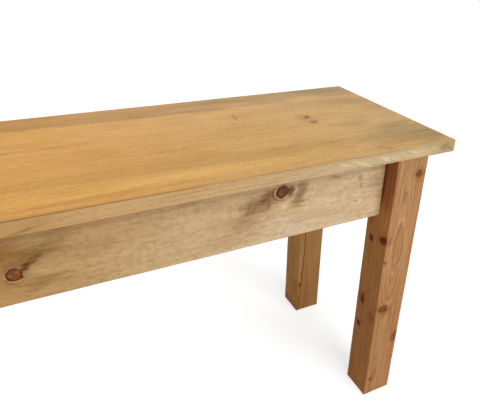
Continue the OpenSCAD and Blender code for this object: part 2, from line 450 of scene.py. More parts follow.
class Sketch:
    """Short calls that add nodes to one tree and hand back their output sockets."""

    def __init__(self, tree: bpy.types.NodeTree) -> None:
        """Keeps the tree that the nodes go into."""
        self.tree = tree

    def add(self, kind: str, **settings: object) -> bpy.types.Node:
        """Adds a node of a kind and sets its properties.

        Args:
            kind: Blender's name for the kind of node.
            **settings: Properties of the node by name.

        Returns:
            The new node.
        """
        node = self.tree.nodes.new(kind)
        for name, value in settings.items():
            setattr(node, name, value)
        return node

    def feed(self, socket: bpy.types.NodeSocket, operand: Operand) -> None:
        """Links an input to a socket, or writes a plain value on it.

        Args:
            socket: The input.
            operand: The output that feeds it, or a value.
        """
        if isinstance(operand, bpy.types.NodeSocket):
            self.tree.links.new(operand, socket)
        else:
            socket.default_value = operand

    def maths(self, operation: str, *operands: Operand) -> bpy.types.NodeSocket:
        """Adds a Math node.

        Args:
            operation: Blender's name for the operation.
            *operands: What feeds its inputs.

        Returns:
            The value.
        """
        node = self.add("ShaderNodeMath", operation=operation)
        for socket, operand in zip(node.inputs, operands):
            self.feed(socket, operand)
        return node.outputs[0]

    def vector(self, operation: str, *operands: Operand) -> bpy.types.NodeSocket:
        """Adds a Vector Math node.

        Args:
            operation: Blender's name for the operation.
            *operands: What feeds its inputs.

        Returns:
            The vector, or the value where the operation gives a value.
        """
        node = self.add("ShaderNodeVectorMath", operation=operation)
        for socket, operand in zip(node.inputs, operands):
            self.feed(socket, operand)
        return node.outputs["Value" if operation in ("LENGTH", "DISTANCE", "DOT_PRODUCT") else "Vector"]

    def blend(self, mode: str, share: Operand, base: Operand, over: Operand) -> bpy.types.NodeSocket:
        """Mixes two colours.

        Args:
            mode: Blender's name for the blend.
            share: How much of the second colour shows.
            base: The first colour.
            over: The second colour.

        Returns:
            The mixed colour.
        """
        node = self.add("ShaderNodeMix", data_type="RGBA", blend_type=mode)
        inputs = {socket.identifier: socket for socket in node.inputs}
        self.feed(inputs["Factor_Float"], share)
        self.feed(inputs["A_Color"], base)
        self.feed(inputs["B_Color"], over)
        return next(socket for socket in node.outputs if socket.identifier == "Result_Color")

    def mask(self, value: Operand, start: float, end: float) -> bpy.types.NodeSocket:
        """Maps a value smoothly to zero at the start and one at the end, which may be the lower of the two.

        Args:
            value: The value.
            start: Where the mask is zero.
            end: Where it is one.

        Returns:
            The mask.
        """
        node = self.add("ShaderNodeMapRange", interpolation_type="SMOOTHSTEP")
        low, high, at_low, at_high = (start, end, 0.0, 1.0) if start < end else (end, start, 1.0, 0.0)
        for socket, operand in zip(node.inputs, (value, low, high, at_low, at_high)):
            self.feed(socket, operand)
        return node.outputs[0]

    def band(
        self, value: Operand, start: float, rise: float, fall: float, end: float
    ) -> bpy.types.NodeSocket:
        """Adds a mask that is one between two places and fades out on both sides.

        Args:
            value: The value.
            start: Where the mask leaves zero.
            rise: Where it comes to one.
            fall: Where it leaves one.
            end: Where it is back at zero.

        Returns:
            The mask.
        """
        return self.times(self.mask(value, end, fall), self.mask(value, start, rise))

    def times(self, first: Operand, *others: Operand) -> bpy.types.NodeSocket:
        """Multiplies values.

        Args:
            first: The first value.
            *others: The other values.

        Returns:
            The product.
        """
        for other in others:
            first = self.maths("MULTIPLY", first, other)
        return first

    def mixed(self, value: Operand, factor: Operand, offset: Operand) -> bpy.types.NodeSocket:
        """Multiplies a value by a factor and adds an offset."""
        return self.maths("MULTIPLY_ADD", value, factor, offset)

    def clamped(self, value: Operand) -> bpy.types.NodeSocket:
        """Keeps a value between zero and one."""
        return self.maths("MAXIMUM", self.maths("MINIMUM", value, 1.0), 0.0)

    def millimetres(self) -> bpy.types.NodeSocket:
        """Adds the place on the object, in millimetres."""
        position = self.add("ShaderNodeTexCoord").outputs["Object"]
        return self.vector("MULTIPLY", position, (1 / MM,) * 3)

    def seen(self) -> bpy.types.NodeSocket:
        """Adds one for a ray of the camera, also off gloss or through glass, and zero for all others.

        Returns:
            The value.
        """
        path = self.add("ShaderNodeLightPath")
        seen = self.maths("MAXIMUM", path.outputs["Is Camera Ray"], path.outputs["Is Glossy Ray"])
        return self.maths("MAXIMUM", seen, path.outputs["Is Transmission Ray"])

    def bump(self, height: Operand, depth: float) -> bpy.types.NodeSocket:
        """Adds the normal of a surface that a height makes rough.

        Args:
            height: The height, from zero to one.
            depth: How far a height of one stands out, in millimetres.

        Returns:
            The normal.
        """
        node = self.add("ShaderNodeBump")
        node.inputs["Distance"].default_value = depth * MM
        self.feed(node.inputs["Height"], height)
        return node.outputs["Normal"]

    def noise(
        self, point: Operand, stretch: Point, detail: float = 2.0, rough: float = 0.5
    ) -> bpy.types.NodeSocket:
        """Adds noise about 0.5 on a stretched point.

        Args:
            point: The point, in millimetres.
            stretch: Noise cells to a millimetre along each axis.
            detail: How many finer layers it has.
            rough: How strong the finer layers are.

        Returns:
            The noise, from zero to one.
        """
        node = self.add("ShaderNodeTexNoise")
        self.feed(node.inputs["Vector"], self.vector("MULTIPLY", point, stretch))
        for name, value in {"Scale": 1.0, "Detail": detail, "Roughness": rough}.items():
            node.inputs[name].default_value = value
        return node.outputs[0]

    def split(self, vector: Operand) -> list[bpy.types.NodeSocket]:
        """Splits a vector into its three values.

        Args:
            vector: The vector.

        Returns:
            The three values.
        """
        node = self.add("ShaderNodeSeparateXYZ")
        self.feed(node.inputs[0], vector)
        return list(node.outputs)

    def join(self, x: Operand, y: Operand, z: Operand) -> bpy.types.NodeSocket:
        """Joins three values into a vector.

        Args:
            x: The first value.
            y: The second value.
            z: The third value.

        Returns:
            The vector.
        """
        node = self.add("ShaderNodeCombineXYZ")
        for socket, operand in zip(node.inputs, (x, y, z)):
            self.feed(socket, operand)
        return node.outputs[0]


def open_material(name: str) -> tuple[bpy.types.Material, Sketch, bpy.types.Node]:
    """Starts a material.

    Args:
        name: Its name.

    Returns:
        The material, the sketch of its nodes and its shader.
    """
    material = bpy.data.materials.new(name)
    material.use_nodes = True
    return material, Sketch(material.node_tree), material.node_tree.nodes["Principled BSDF"]


class Effect(Enum):
    """The shader groups that the finishes share."""

    RINGS = "growth rings"
    FIBRES = "fibres and blotches"
    KNOT_FIELD = "distance from a knot"
    KNOT_COLOUR = "colour of a knot"
    PATCH = "ragged patch"
    ARRIS = "arris and end grain"
    SPOTS = "dull spots"


class EffectShelf:
    """Builds each shared shader group once and places copies of it in the materials."""

    def __init__(self) -> None:
        """Starts with no group built."""
        self._trees: dict[Effect, bpy.types.NodeTree] = {}

    def place(self, sketch: Sketch, effect: Effect, values: dict[str, Operand]) -> bpy.types.Node:
        """Places an effect in a material.

        Args:
            sketch: The material's sketch.
            effect: Which group.
            values: What feeds its inputs, by name.

        Returns:
            The group's node.
        """
        if effect not in self._trees:
            makers = {
                Effect.RINGS: self._rings, Effect.FIBRES: self._fibres, Effect.PATCH: self._patch,
                Effect.KNOT_FIELD: self._knot_field, Effect.KNOT_COLOUR: self._knot_colour,
                Effect.ARRIS: self._arris, Effect.SPOTS: self._spots,
            }
            self._trees[effect] = makers[effect]()
        node = sketch.add("ShaderNodeGroup", node_tree=self._trees[effect])
        for name, operand in values.items():
            sketch.feed(node.inputs[name], operand)
        return node

    @staticmethod
    def _open(
        effect: Effect, inputs: dict[str, float | tuple[float, ...]], outputs: dict[str, str]
    ) -> tuple[Sketch, Sockets, Sockets]:
        """Opens a new group with its named inputs and outputs.

        Args:
            effect: Which group.
            inputs: The default of each input: a number, a vector of three or a colour of four.
            outputs: The kind of each output, Float or Color.

        Returns:
            The group's sketch, its inputs as seen inside, and its outputs as seen inside.
        """
        tree = bpy.data.node_groups.new(effect.value, "ShaderNodeTree")
        for name, default in inputs.items():
            size = len(default) if isinstance(default, tuple) else 1
            kind = {1: "NodeSocketFloat", 3: "NodeSocketVector", 4: "NodeSocketColor"}[size]
            tree.interface.new_socket(name, in_out="INPUT", socket_type=kind).default_value = default
        for name, kind in outputs.items():
            tree.interface.new_socket(name, in_out="OUTPUT", socket_type=f"NodeSocket{kind}")
        sketch = Sketch(tree)
        entry, exit_node = sketch.add("NodeGroupInput"), sketch.add("NodeGroupOutput")
        return (
            sketch,
            {name: entry.outputs[name] for name in inputs},
            {name: exit_node.inputs[name] for name in outputs},
        )

    @staticmethod
    def _offset(sketch: Sketch, ins: Sockets) -> bpy.types.NodeSocket:
        """Measures the turned point of a mark from its centre, in units of its radii.

        Args:
            sketch: The group's sketch.
            ins: The group's inputs as seen inside.

        Returns:
            The offset, as a vector.
        """
        turned = sketch.add("ShaderNodeVectorRotate", rotation_type="AXIS_ANGLE")
        for name, source in {"Vector": "Point", "Center": "Centre", "Axis": "Axis", "Angle": "Turn"}.items():
            sketch.feed(turned.inputs[name], ins[source])
        away = sketch.vector("SUBTRACT", turned.outputs[0], ins["Centre"])
        return sketch.vector("DIVIDE", away, ins["Radii"])

    def _rings(self) -> bpy.types.NodeTree:
        """Growth rings round a wandering, sloping pith: cathedrals on a board's faces, arcs at its ends.

        Returns:
            The group's node tree.
        """
        sketch, ins, outs = self._open(
            Effect.RINGS,
            {
                "Grain Point": ZERO, "Pith": ZERO, "Slope": ZERO, "Ring Width": 5.0, "Wander": 12.0,
                "Wobble": 5.0, "Swirl": 0.0, "Seed": 0.0,
            },
            {"Late Wood": "Float", "Ring Tone": "Float"},
        )
        along, _, _ = sketch.split(ins["Grain Point"])
        place = sketch.join(sketch.times(along, 0.0045), ins["Seed"], 0.0)
        drift = sketch.add("ShaderNodeTexNoise")
        sketch.feed(drift.inputs["Vector"], place)
        for name, value in {"Scale": 1.0, "Detail": 1.5}.items():
            drift.inputs[name].default_value = value
        centred = sketch.vector("SUBTRACT", drift.outputs[1], (0.5, 0.5, 0.5))
        wander = sketch.vector("MULTIPLY", centred, sketch.join(0.0, ins["Wander"], ins["Wander"]))
        slope = sketch.vector("MULTIPLY", ins["Slope"], sketch.join(0.0, along, along))
        pith = sketch.vector("ADD", sketch.vector("ADD", ins["Pith"], slope), wander)
        away = sketch.vector("SUBTRACT", ins["Grain Point"], pith)
        across = sketch.vector("MULTIPLY", away, (0.0, 1.0, 1.0))
        shift = sketch.join(sketch.times(ins["Seed"], 173.0), 0.0, 0.0)
        seeded = sketch.vector("ADD", ins["Grain Point"], shift)
        wobble = sketch.maths("SUBTRACT", sketch.noise(seeded, (0.0035, 0.03, 0.03)), 0.5)
        radius = sketch.mixed(wobble, ins["Wobble"], sketch.vector("LENGTH", across))
        count = sketch.maths("DIVIDE", sketch.maths("ADD", radius, ins["Swirl"]), ins["Ring Width"])
        uneven = sketch.noise(sketch.join(count, ins["Seed"], 0.0), (0.37, 1.0, 1.0), 1.0)
        count = sketch.mixed(uneven, 1.6, count)
        late = sketch.band(sketch.maths("FRACT", count), 0.30, 0.92, 0.93, 1.0)
        sketch.feed(outs["Late Wood"], sketch.maths("POWER", late, 1.6))
        tone = sketch.add("ShaderNodeTexWhiteNoise", noise_dimensions="1D")
        sketch.feed(tone.inputs["W"], sketch.maths("FLOOR", count))
        sketch.feed(outs["Ring Tone"], tone.outputs["Value"])
        return sketch.tree

    def _fibres(self) -> bpy.types.NodeTree:
        """Fine streaks along the grain, short dark pores, and broad uneven blotches of stain.

        Returns:
            The group's node tree.
        """
        sketch, ins, outs = self._open(
            Effect.FIBRES,
            {"Grain Point": ZERO, "Seed": 0.0, "Pore Share": 0.32},
            {"Streak": "Float", "Pore": "Float", "Blotch": "Float", "Cloud": "Float", "Speckle": "Float"},
        )
        shift = sketch.join(sketch.times(ins["Seed"], 331.0), ins["Seed"], 0.0)
        point = sketch.vector("ADD", ins["Grain Point"], shift)
        coarse = sketch.noise(point, (0.012, 0.35, 0.35), 4.0, 0.62)
        fine = sketch.noise(point, (0.06, 1.7, 1.7), 3.0, 0.6)
        sketch.feed(outs["Streak"], sketch.mixed(coarse, 0.6, sketch.times(fine, 0.4)))
        dashes = sketch.noise(point, (0.11, 1.9, 1.9), 1.0)
        sparse = sketch.noise(point, (0.01, 0.05, 0.05))
        share = sketch.maths("SUBTRACT", 1.0, ins["Pore Share"])
        pores = sketch.clamped(sketch.times(sketch.maths("SUBTRACT", dashes, share), 9.0))
        sketch.feed(outs["Pore"], sketch.times(pores, sketch.mask(sparse, 0.35, 0.65)))
        sketch.feed(outs["Blotch"], sketch.noise(point, (0.012, 0.045, 0.045), 4.0, 0.6))
        sketch.feed(outs["Cloud"], sketch.noise(point, (0.0045, 0.012, 0.012)))
        sketch.feed(outs["Speckle"], sketch.noise(point, (0.15, 0.24, 0.24), 5.0, 0.72))
        return sketch.tree

    def _knot_field(self) -> bpy.types.NodeTree:
        """Distance from a knot, one at its rim, and how far the rings swirl round it.

        Returns:
            The group's node tree.
        """
        sketch, ins, outs = self._open(
            Effect.KNOT_FIELD,
            {
                "Point": ZERO, "Centre": ZERO, "Radii": UNIT, "Axis": Face.TOP.value, "Turn": 0.0,
                "Swirl": 0.0, "Ragged": 0.5, "Lean": ZERO,
            },
            {"Distance": "Float", "Swirl": "Float", "Side": "Float"},
        )
        offset = self._offset(sketch, ins)
        own = sketch.vector("ADD", offset, sketch.vector("MULTIPLY", ins["Centre"], (0.07,) * 3))
        uneven = sketch.maths("SUBTRACT", sketch.noise(own, (1.1,) * 3, 4.0, 0.6), 0.5)
        distance = sketch.mixed(uneven, ins["Ragged"], sketch.vector("LENGTH", offset))
        sketch.feed(outs["Distance"], distance)
        outwards = sketch.vector("NORMALIZE", sketch.vector("SUBTRACT", ins["Point"], ins["Centre"]))
        side = sketch.maths("ADD", sketch.vector("DOT_PRODUCT", outwards, ins["Lean"]), 0.5)
        sketch.feed(outs["Side"], sketch.clamped(side))
        spread = sketch.maths("ADD", sketch.maths("POWER", sketch.times(distance, 0.62), 2.0), 1.0)
        sketch.feed(outs["Swirl"], sketch.maths("DIVIDE", ins["Swirl"], spread))
        return sketch.tree

    def _knot_colour(self) -> bpy.types.NodeTree:
        """A knot over the wood: a ringed heart, a broken dark rim, a pale collar and a shaded halo.

        Returns:
            The group's node tree.
        """
        sketch, ins, outs = self._open(
            Effect.KNOT_COLOUR,
            {
                "Base": BLACK, "Point": ZERO, "Distance": 9.0, "Side": 0.5, "Heart": BLACK, "Rim": BLACK,
                "Collar": BLACK, "Halo": BLACK, "Collar Share": 0.5, "Soft": 0.12,
            },
            {"Color": "Color", "Height": "Float"},
        )
        distance = ins["Distance"]
        patchy = sketch.noise(ins["Point"], (0.2,) * 3, 4.0, 0.6)
        broken = sketch.mask(patchy, 0.36, 0.60)
        halo = sketch.times(sketch.mask(distance, 2.6, 0.9), sketch.mixed(patchy, 1.3, 0.1))
        colour = sketch.blend("MULTIPLY", halo, ins["Base"], ins["Halo"])
        sided = sketch.times(ins["Collar Share"], ins["Side"])
        collar = sketch.times(
            sketch.band(distance, 0.98, 1.12, 1.26, 1.42), sided, sketch.mask(patchy, 0.70, 0.44)
        )
        colour = sketch.blend("MIX", collar, colour, ins["Collar"])
        outer = sketch.times(sketch.band(distance, 1.34, 1.45, 1.45, 1.56), sided, 0.75, broken)
        colour = sketch.blend("MIX", outer, colour, ins["Rim"])
        edge = sketch.maths("DIVIDE", sketch.maths("SUBTRACT", 1.0, distance), ins["Soft"])
        ringed = sketch.mixed(sketch.maths("SINE", sketch.times(distance, 22.0)), 0.5, 0.5)
        mottled = sketch.times(sketch.maths("ADD", ringed, broken), 0.44)
        heart = sketch.blend("MIX", mottled, ins["Heart"], ins["Rim"])
        colour = sketch.blend("MIX", sketch.mask(edge, -0.6, 1.0), colour, heart)
        rim = sketch.times(sketch.band(distance, 0.70, 0.92, 1.02, 1.18), sketch.mixed(broken, 0.55, 0.4))
        sketch.feed(outs["Color"], sketch.blend("MIX", rim, colour, ins["Rim"]))
        sketch.feed(outs["Height"], sketch.times(rim, -1.0))
        return sketch.tree

    def _patch(self) -> bpy.types.NodeTree:
        """A turned, ragged patch whose border streaks along the grain.

        Returns:
            The group's node tree.
        """
        sketch, ins, outs = self._open(
            Effect.PATCH,
            {
                "Point": ZERO, "Grain Point": ZERO, "Centre": ZERO, "Radii": UNIT, "Axis": Face.TOP.value,
                "Turn": 0.0, "Soft": 0.5, "Ragged": 0.5,
            },
            {"Mask": "Float"},
        )
        streaks = sketch.noise(ins["Grain Point"], (0.022, 0.16, 0.16), 4.0, 0.62)
        border = sketch.times(sketch.maths("SUBTRACT", streaks, 0.5), ins["Ragged"], 2.4)
        distance = sketch.maths("ADD", sketch.vector("LENGTH", self._offset(sketch, ins)), border)
        inside = sketch.maths("DIVIDE", sketch.maths("SUBTRACT", 1.0, distance), ins["Soft"])
        sketch.feed(outs["Mask"], sketch.mask(inside, 0.0, 1.0))
        return sketch.tree

    def _arris(self) -> bpy.types.NodeTree:
        """Worn arrises and end grain, from the distances to the six sides of the timber.

        Returns:
            The group's node tree.
        """
        sketch, ins, outs = self._open(
            Effect.ARRIS,
            {"Point": ZERO, "Low": ZERO, "High": UNIT, "Along": Face.RIGHT.value, "Width": 2.0},
            {"Wear": "Float", "End Grain": "Float", "End": "Float"},
        )
        from_low = sketch.vector("SUBTRACT", ins["Point"], ins["Low"])
        inner = sketch.vector("MINIMUM", from_low, sketch.vector("SUBTRACT", ins["High"], ins["Point"]))
        x, y, z = sketch.split(inner)
        small, large = sketch.maths("MINIMUM", x, y), sketch.maths("MAXIMUM", x, y)
        second = sketch.maths("MAXIMUM", small, sketch.maths("MINIMUM", large, z))
        patchy = sketch.noise(ins["Point"], (0.07,) * 3, 3.0, 0.6)
        reach = sketch.times(ins["Width"], sketch.mixed(patchy, 2.4, -0.35))
        share = sketch.maths("DIVIDE", second, sketch.maths("MAXIMUM", reach, 0.05))
        sketch.feed(outs["Wear"], sketch.mask(share, 1.0, 0.25))
        to_end = sketch.vector("DOT_PRODUCT", inner, ins["Along"])
        sketch.feed(outs["End"], to_end)
        sketch.feed(outs["End Grain"], sketch.mask(to_end, 0.45, 0.25))
        return sketch.tree

    def _spots(self) -> bpy.types.NodeTree:
        """Dull uneven spots for zinc, and the fine scratches of a spanner.

        Returns:
            The group's node tree.
        """
        sketch, ins, outs = self._open(
            Effect.SPOTS, {"Point": ZERO}, {"Spots": "Float", "Scratches": "Float"}
        )
        sketch.feed(outs["Spots"], sketch.noise(ins["Point"], (0.5,) * 3, 4.0, 0.65))
        sketch.feed(outs["Scratches"], sketch.noise(ins["Point"], (0.4, 6.0, 0.9)))
        return sketch.tree


@dataclass(frozen=True)
class PineFinish:
    """Stained pine.

    Attributes:
        name: The material's name.
        early: Colour of the pale early wood.
        late: Colour of the dark late wood.
        contrast: How strongly the late wood shows.
        ring_width: Width of a growth ring.
        pith: Where the pith lies, along and across the grain.
        slope: How far the pith runs sideways for each millimetre along the board.
        wander: How far the pith wanders.
        wobble: How uneven the rings are.
        left: What the left or lower end does to the colour: on the seat and the back legs partly painted
            light.
        right: What the right or upper end does to the colour: on the seat and the back legs partly painted
            light.
        blotch: Tint of the uneven blotches.
        blotch_share: How strong they are.
        streak: How strong the fine streaks are.
        pore: How strong the short pores are.
        speckle: How strong the small uneven spots are.
        wear: Tint of the worn arrises.
        roughness: Roughness of the finished surface.
        gloss: Its specular level.
        seed: Which tree the board is from.
        streak_tint: Tint of the fine streaks.
        pore_tint: Tint of the short pores.
        dark_speck: Tint of the darker small spots.
        pale_speck: Tint of the paler small spots.
        end_grain: Tint of the end grain.
        relief: Greatest depth of the rings, pores and knots' edges in the finish, in millimetres.
    """

    name: str
    early: Rgb
    late: Rgb
    contrast: float = 0.6
    ring_width: float = 5.0
    pith: Point = (0.0, 0.0, 0.0)
    slope: Point = (0.0, 0.0, 0.0)
    wander: float = 14.0
    wobble: float = 6.0
    left: Tint = (1.0, 1.0, 1.0)
    right: Tint = (1.0, 1.0, 1.0)
    blotch: Tint = (0.80, 0.74, 0.66)
    blotch_share: float = 0.7
    streak: float = 0.35
    pore: float = 0.25
    speckle: float = 0.3
    wear: Tint = (0.82, 0.72, 0.60)
    roughness: float = 0.48
    gloss: float = 0.14
    seed: float = 1.0

    streak_tint: ClassVar[Tint] = (0.66, 0.58, 0.50)
    pore_tint: ClassVar[Tint] = (0.45, 0.34, 0.26)
    dark_speck: ClassVar[Tint] = (0.74, 0.66, 0.58)
    pale_speck: ClassVar[Tint] = (1.14, 1.15, 1.16)
    end_grain: ClassVar[Tint] = (0.66, 0.56, 0.46)
    relief: ClassVar[float] = 0.12

    def material(self, shelf: EffectShelf, timber: "Board") -> bpy.types.Material:
        """Makes the material of one board.

        Args:
            shelf: The shared effects.
            timber: The board, for its size, grain and marks.

        Returns:
            The material.
        """
        material, sketch, shader = open_material(f"{self.name}_{timber.node}")
        point = sketch.millimetres()
        parts = sketch.split(point)
        grain = sketch.join(*(parts[axis] for axis in timber.grain.value))
        fields = [self._knot_field(shelf, sketch, point, knot) for knot in timber.knots]
        swirl: Operand = 0.0
        for knot_field in fields:
            swirl = sketch.maths("ADD", swirl, knot_field.outputs["Swirl"])
        rings = shelf.place(sketch, Effect.RINGS, {
            "Grain Point": grain, "Pith": self.pith, "Slope": self.slope, "Ring Width": self.ring_width,
            "Wander": self.wander, "Wobble": self.wobble, "Swirl": swirl, "Seed": self.seed,
        })
        fibres = shelf.place(sketch, Effect.FIBRES, {"Grain Point": grain, "Seed": self.seed})
        low, high = timber.box
        arris = shelf.place(sketch, Effect.ARRIS, {
            "Point": point, "Low": tuple(low), "High": tuple(high),
            "Along": tuple(1.0 if axis == timber.grain.value[0] else 0.0 for axis in range(3)),
            "Width": timber.arris * 1.6,
        })
        late = sketch.times(rings.outputs["Late Wood"], self.contrast)
        colour = sketch.blend("MIX", late, linear(self.early), linear(self.late))
        tone = sketch.times(rings.outputs["Ring Tone"], 0.22 * self.contrast)
        colour = sketch.blend("MIX", tone, colour, linear(self.late))
        colour = self._gradient(sketch, timber, parts[timber.grain.value[0]], colour)
        for field_name, start, end, share, tint in (
            ("Blotch", 0.42, 0.72, self.blotch_share, self.blotch),
            ("Cloud", 0.35, 0.70, 0.5 * self.blotch_share, self.blotch),
            ("Streak", 0.44, 0.62, self.streak, self.streak_tint),
            ("Speckle", 0.46, 0.66, self.speckle, self.dark_speck),
            ("Speckle", 0.46, 0.30, self.speckle, self.pale_speck),
        ):
            mask = sketch.mask(fibres.outputs[field_name], start, end)
            colour = self._shade(sketch, mask, share, colour, tint)
        colour = self._shade(sketch, fibres.outputs["Pore"], self.pore, colour, self.pore_tint)
        # Patches of staining, and on some boards patches of painted light and shade.
        for stain_and_painted_light in timber.stains_and_painted_light:
            colour = self._lay_stain_and_painted_light(shelf, sketch, point, grain, stain_and_painted_light, colour)
        height = sketch.times(sketch.maths("ADD", rings.outputs["Late Wood"], fibres.outputs["Streak"]), 0.5)
        height = sketch.mixed(fibres.outputs["Pore"], -0.6, height)
        for knot, knot_field in zip(timber.knots, fields):
            kind = knot.kind.value
            if kind is None:
                continue
            node = shelf.place(sketch, Effect.KNOT_COLOUR, {
                "Base": colour, "Point": point, "Distance": knot_field.outputs["Distance"],
                "Side": knot_field.outputs["Side"], "Heart": linear(kind.heart), "Rim": linear(kind.rim),
                "Collar": linear(kind.collar), "Halo": (*kind.halo, 1.0), "Soft": kind.soft,
                "Collar Share": kind.collar_share,
            })
            colour = node.outputs["Color"]
            height = sketch.maths("ADD", height, node.outputs["Height"])
        colour = self._shade(sketch, arris.outputs["Wear"], 0.6, colour, self.wear)
        colour = self._shade(sketch, arris.outputs["End Grain"], 0.8, colour, self.end_grain)
        sketch.feed(shader.inputs["Base Color"], colour)
        shader.inputs["Specular IOR Level"].default_value = self.gloss
        dull = sketch.mixed(fibres.outputs["Blotch"], 0.24, self.roughness - 0.12)
        dull = sketch.mixed(arris.outputs["End Grain"], 0.2, dull)
        sketch.feed(shader.inputs["Roughness"], sketch.mixed(rings.outputs["Late Wood"], -0.06, dull))
        sketch.feed(shader.inputs["Normal"], sketch.bump(height, self.relief))
        return material

    @staticmethod
    def _knot_field(shelf: EffectShelf, sketch: Sketch, point: Operand, knot: Knot) -> bpy.types.Node:
        """Places the distance field of one knot.

        Args:
            shelf: The shared effects.
            sketch: The material's sketch.
            point: The point in the bench's frame.
            knot: The knot.

        Returns:
            The node of the field.
        """
        return shelf.place(sketch, Effect.KNOT_FIELD, {
            "Point": point, "Centre": knot.centre, "Radii": knot.radii, "Axis": knot.side.face.value,
            "Turn": math.radians(knot.turn), "Swirl": knot.swirl, "Lean": knot.side.lift(knot.lean, 0.0),
            "Ragged": 0.0 if knot.kind is KnotKind.NONE else 0.6,
        })

    @staticmethod
    def _shade(
        sketch: Sketch, mask: Operand, share: float, colour: Operand, tint: Tint
    ) -> bpy.types.NodeSocket:
        """Multiplies a colour by a tint under a mask."""
        return sketch.blend("MULTIPLY", sketch.times(mask, share), colour, (*tint, 1.0))

    def _gradient(
        self, sketch: Sketch, timber: "Board", along: Operand, colour: Operand
    ) -> bpy.types.NodeSocket:
        """Shifts the colour slowly from one end of the part that shows most to the other; on the seat and the
        back legs this paints light too.

        Args:
            sketch: The material's sketch.
            timber: The timber.
            along: Place along the grain, in millimetres.
            colour: The colour so far.

        Returns:
            The shifted colour.
        """
        start, end = timber.fade
        share = sketch.mask(along, start, end)
        tint = sketch.blend("MIX", share, (*self.left, 1.0), (*self.right, 1.0))
        return sketch.blend("MULTIPLY", 1.0, colour, tint)

    @staticmethod
    def _lay_stain_and_painted_light(
        shelf: EffectShelf, sketch: Sketch, point: Operand, grain: Operand, stain_and_painted_light: StainAndPaintedLight, colour: Operand
    ) -> bpy.types.NodeSocket:
        """Lays one patch, of staining or of painted light, over the colour.

        Args:
            shelf: The shared effects.
            sketch: The material's sketch.
            point: The point in the bench's frame.
            grain: The point along and across the grain.
            stain_and_painted_light: The patch.
            colour: The colour so far.

        Returns:
            The stained colour.
        """
        patch = shelf.place(sketch, Effect.PATCH, {
            "Point": point, "Grain Point": grain, "Centre": stain_and_painted_light.centre, "Radii": stain_and_painted_light.radii,
            "Axis": stain_and_painted_light.side.face.value, "Turn": math.radians(stain_and_painted_light.turn), "Soft": stain_and_painted_light.soft,
            "Ragged": stain_and_painted_light.ragged,
        })
        return sketch.blend("MULTIPLY", patch.outputs["Mask"], colour, (*stain_and_painted_light.tint, 1.0))


@dataclass(frozen=True)
class ZincFinish:
    """Zinc plated steel, a little dull and spotted.

    Attributes:
        name: The material's name.
        bright: Colour of the clean zinc.
        dull: Colour of its dull spots.
        roughness: Roughness of the clean zinc.
        spot_roughness: What a dull spot adds to it.
        scratch: Depth of the scratches, in millimetres.
    """

    name: str = "zinc_steel"
    bright: Rgb = (196, 198, 202)
    dull: Rgb = (138, 140, 142)
    roughness: float = 0.34
    spot_roughness: float = 0.22
    scratch: float = 0.05

    def material(self, shelf: EffectShelf) -> bpy.types.Material:
        """Makes the material.

        Args:
            shelf: The shared effects.

        Returns:
            The material.
        """
        material, sketch, shader = open_material(self.name)
        spots = shelf.place(sketch, Effect.SPOTS, {"Point": sketch.millimetres()})
        share = sketch.mask(spots.outputs["Spots"], 0.4, 0.65)
        colour = sketch.blend("MIX", share, linear(self.bright), linear(self.dull))
        sketch.feed(shader.inputs["Base Color"], colour)
        shader.inputs["Metallic"].default_value = 1.0
        sketch.feed(shader.inputs["Roughness"], sketch.mixed(share, self.spot_roughness, self.roughness))
        sketch.feed(shader.inputs["Normal"], sketch.bump(spots.outputs["Scratches"], self.scratch))
        return material


@dataclass
class Board:
    """A piece of wood as its material sees it.

    Attributes:
        node: The node that it stands for.
        grain: The direction of its fibres.
        finish: Its wood and its staining.
        slot: The record's material slot; not used.
        arris: Usual radius of its eased arrises.
        fade: Where the colour of its left or lower end stops and that of its right or upper end starts.
        knots: Its knots.
        stains_and_painted_light: Its patches of staining, and of painted light and shade.
    """

    node: str
    grain: Grain
    finish: PineFinish
    slot: str
    arris: float = 1.0
    fade: tuple[float, float] = (-500.0, 500.0)
    knots: tuple[Knot, ...] = ()
    stains_and_painted_light: tuple[StainAndPaintedLight, ...] = ()

    @property
    def box(self) -> tuple[Vector, Vector]:
        """Its lowest and its highest corner."""
        return corners(self.node)


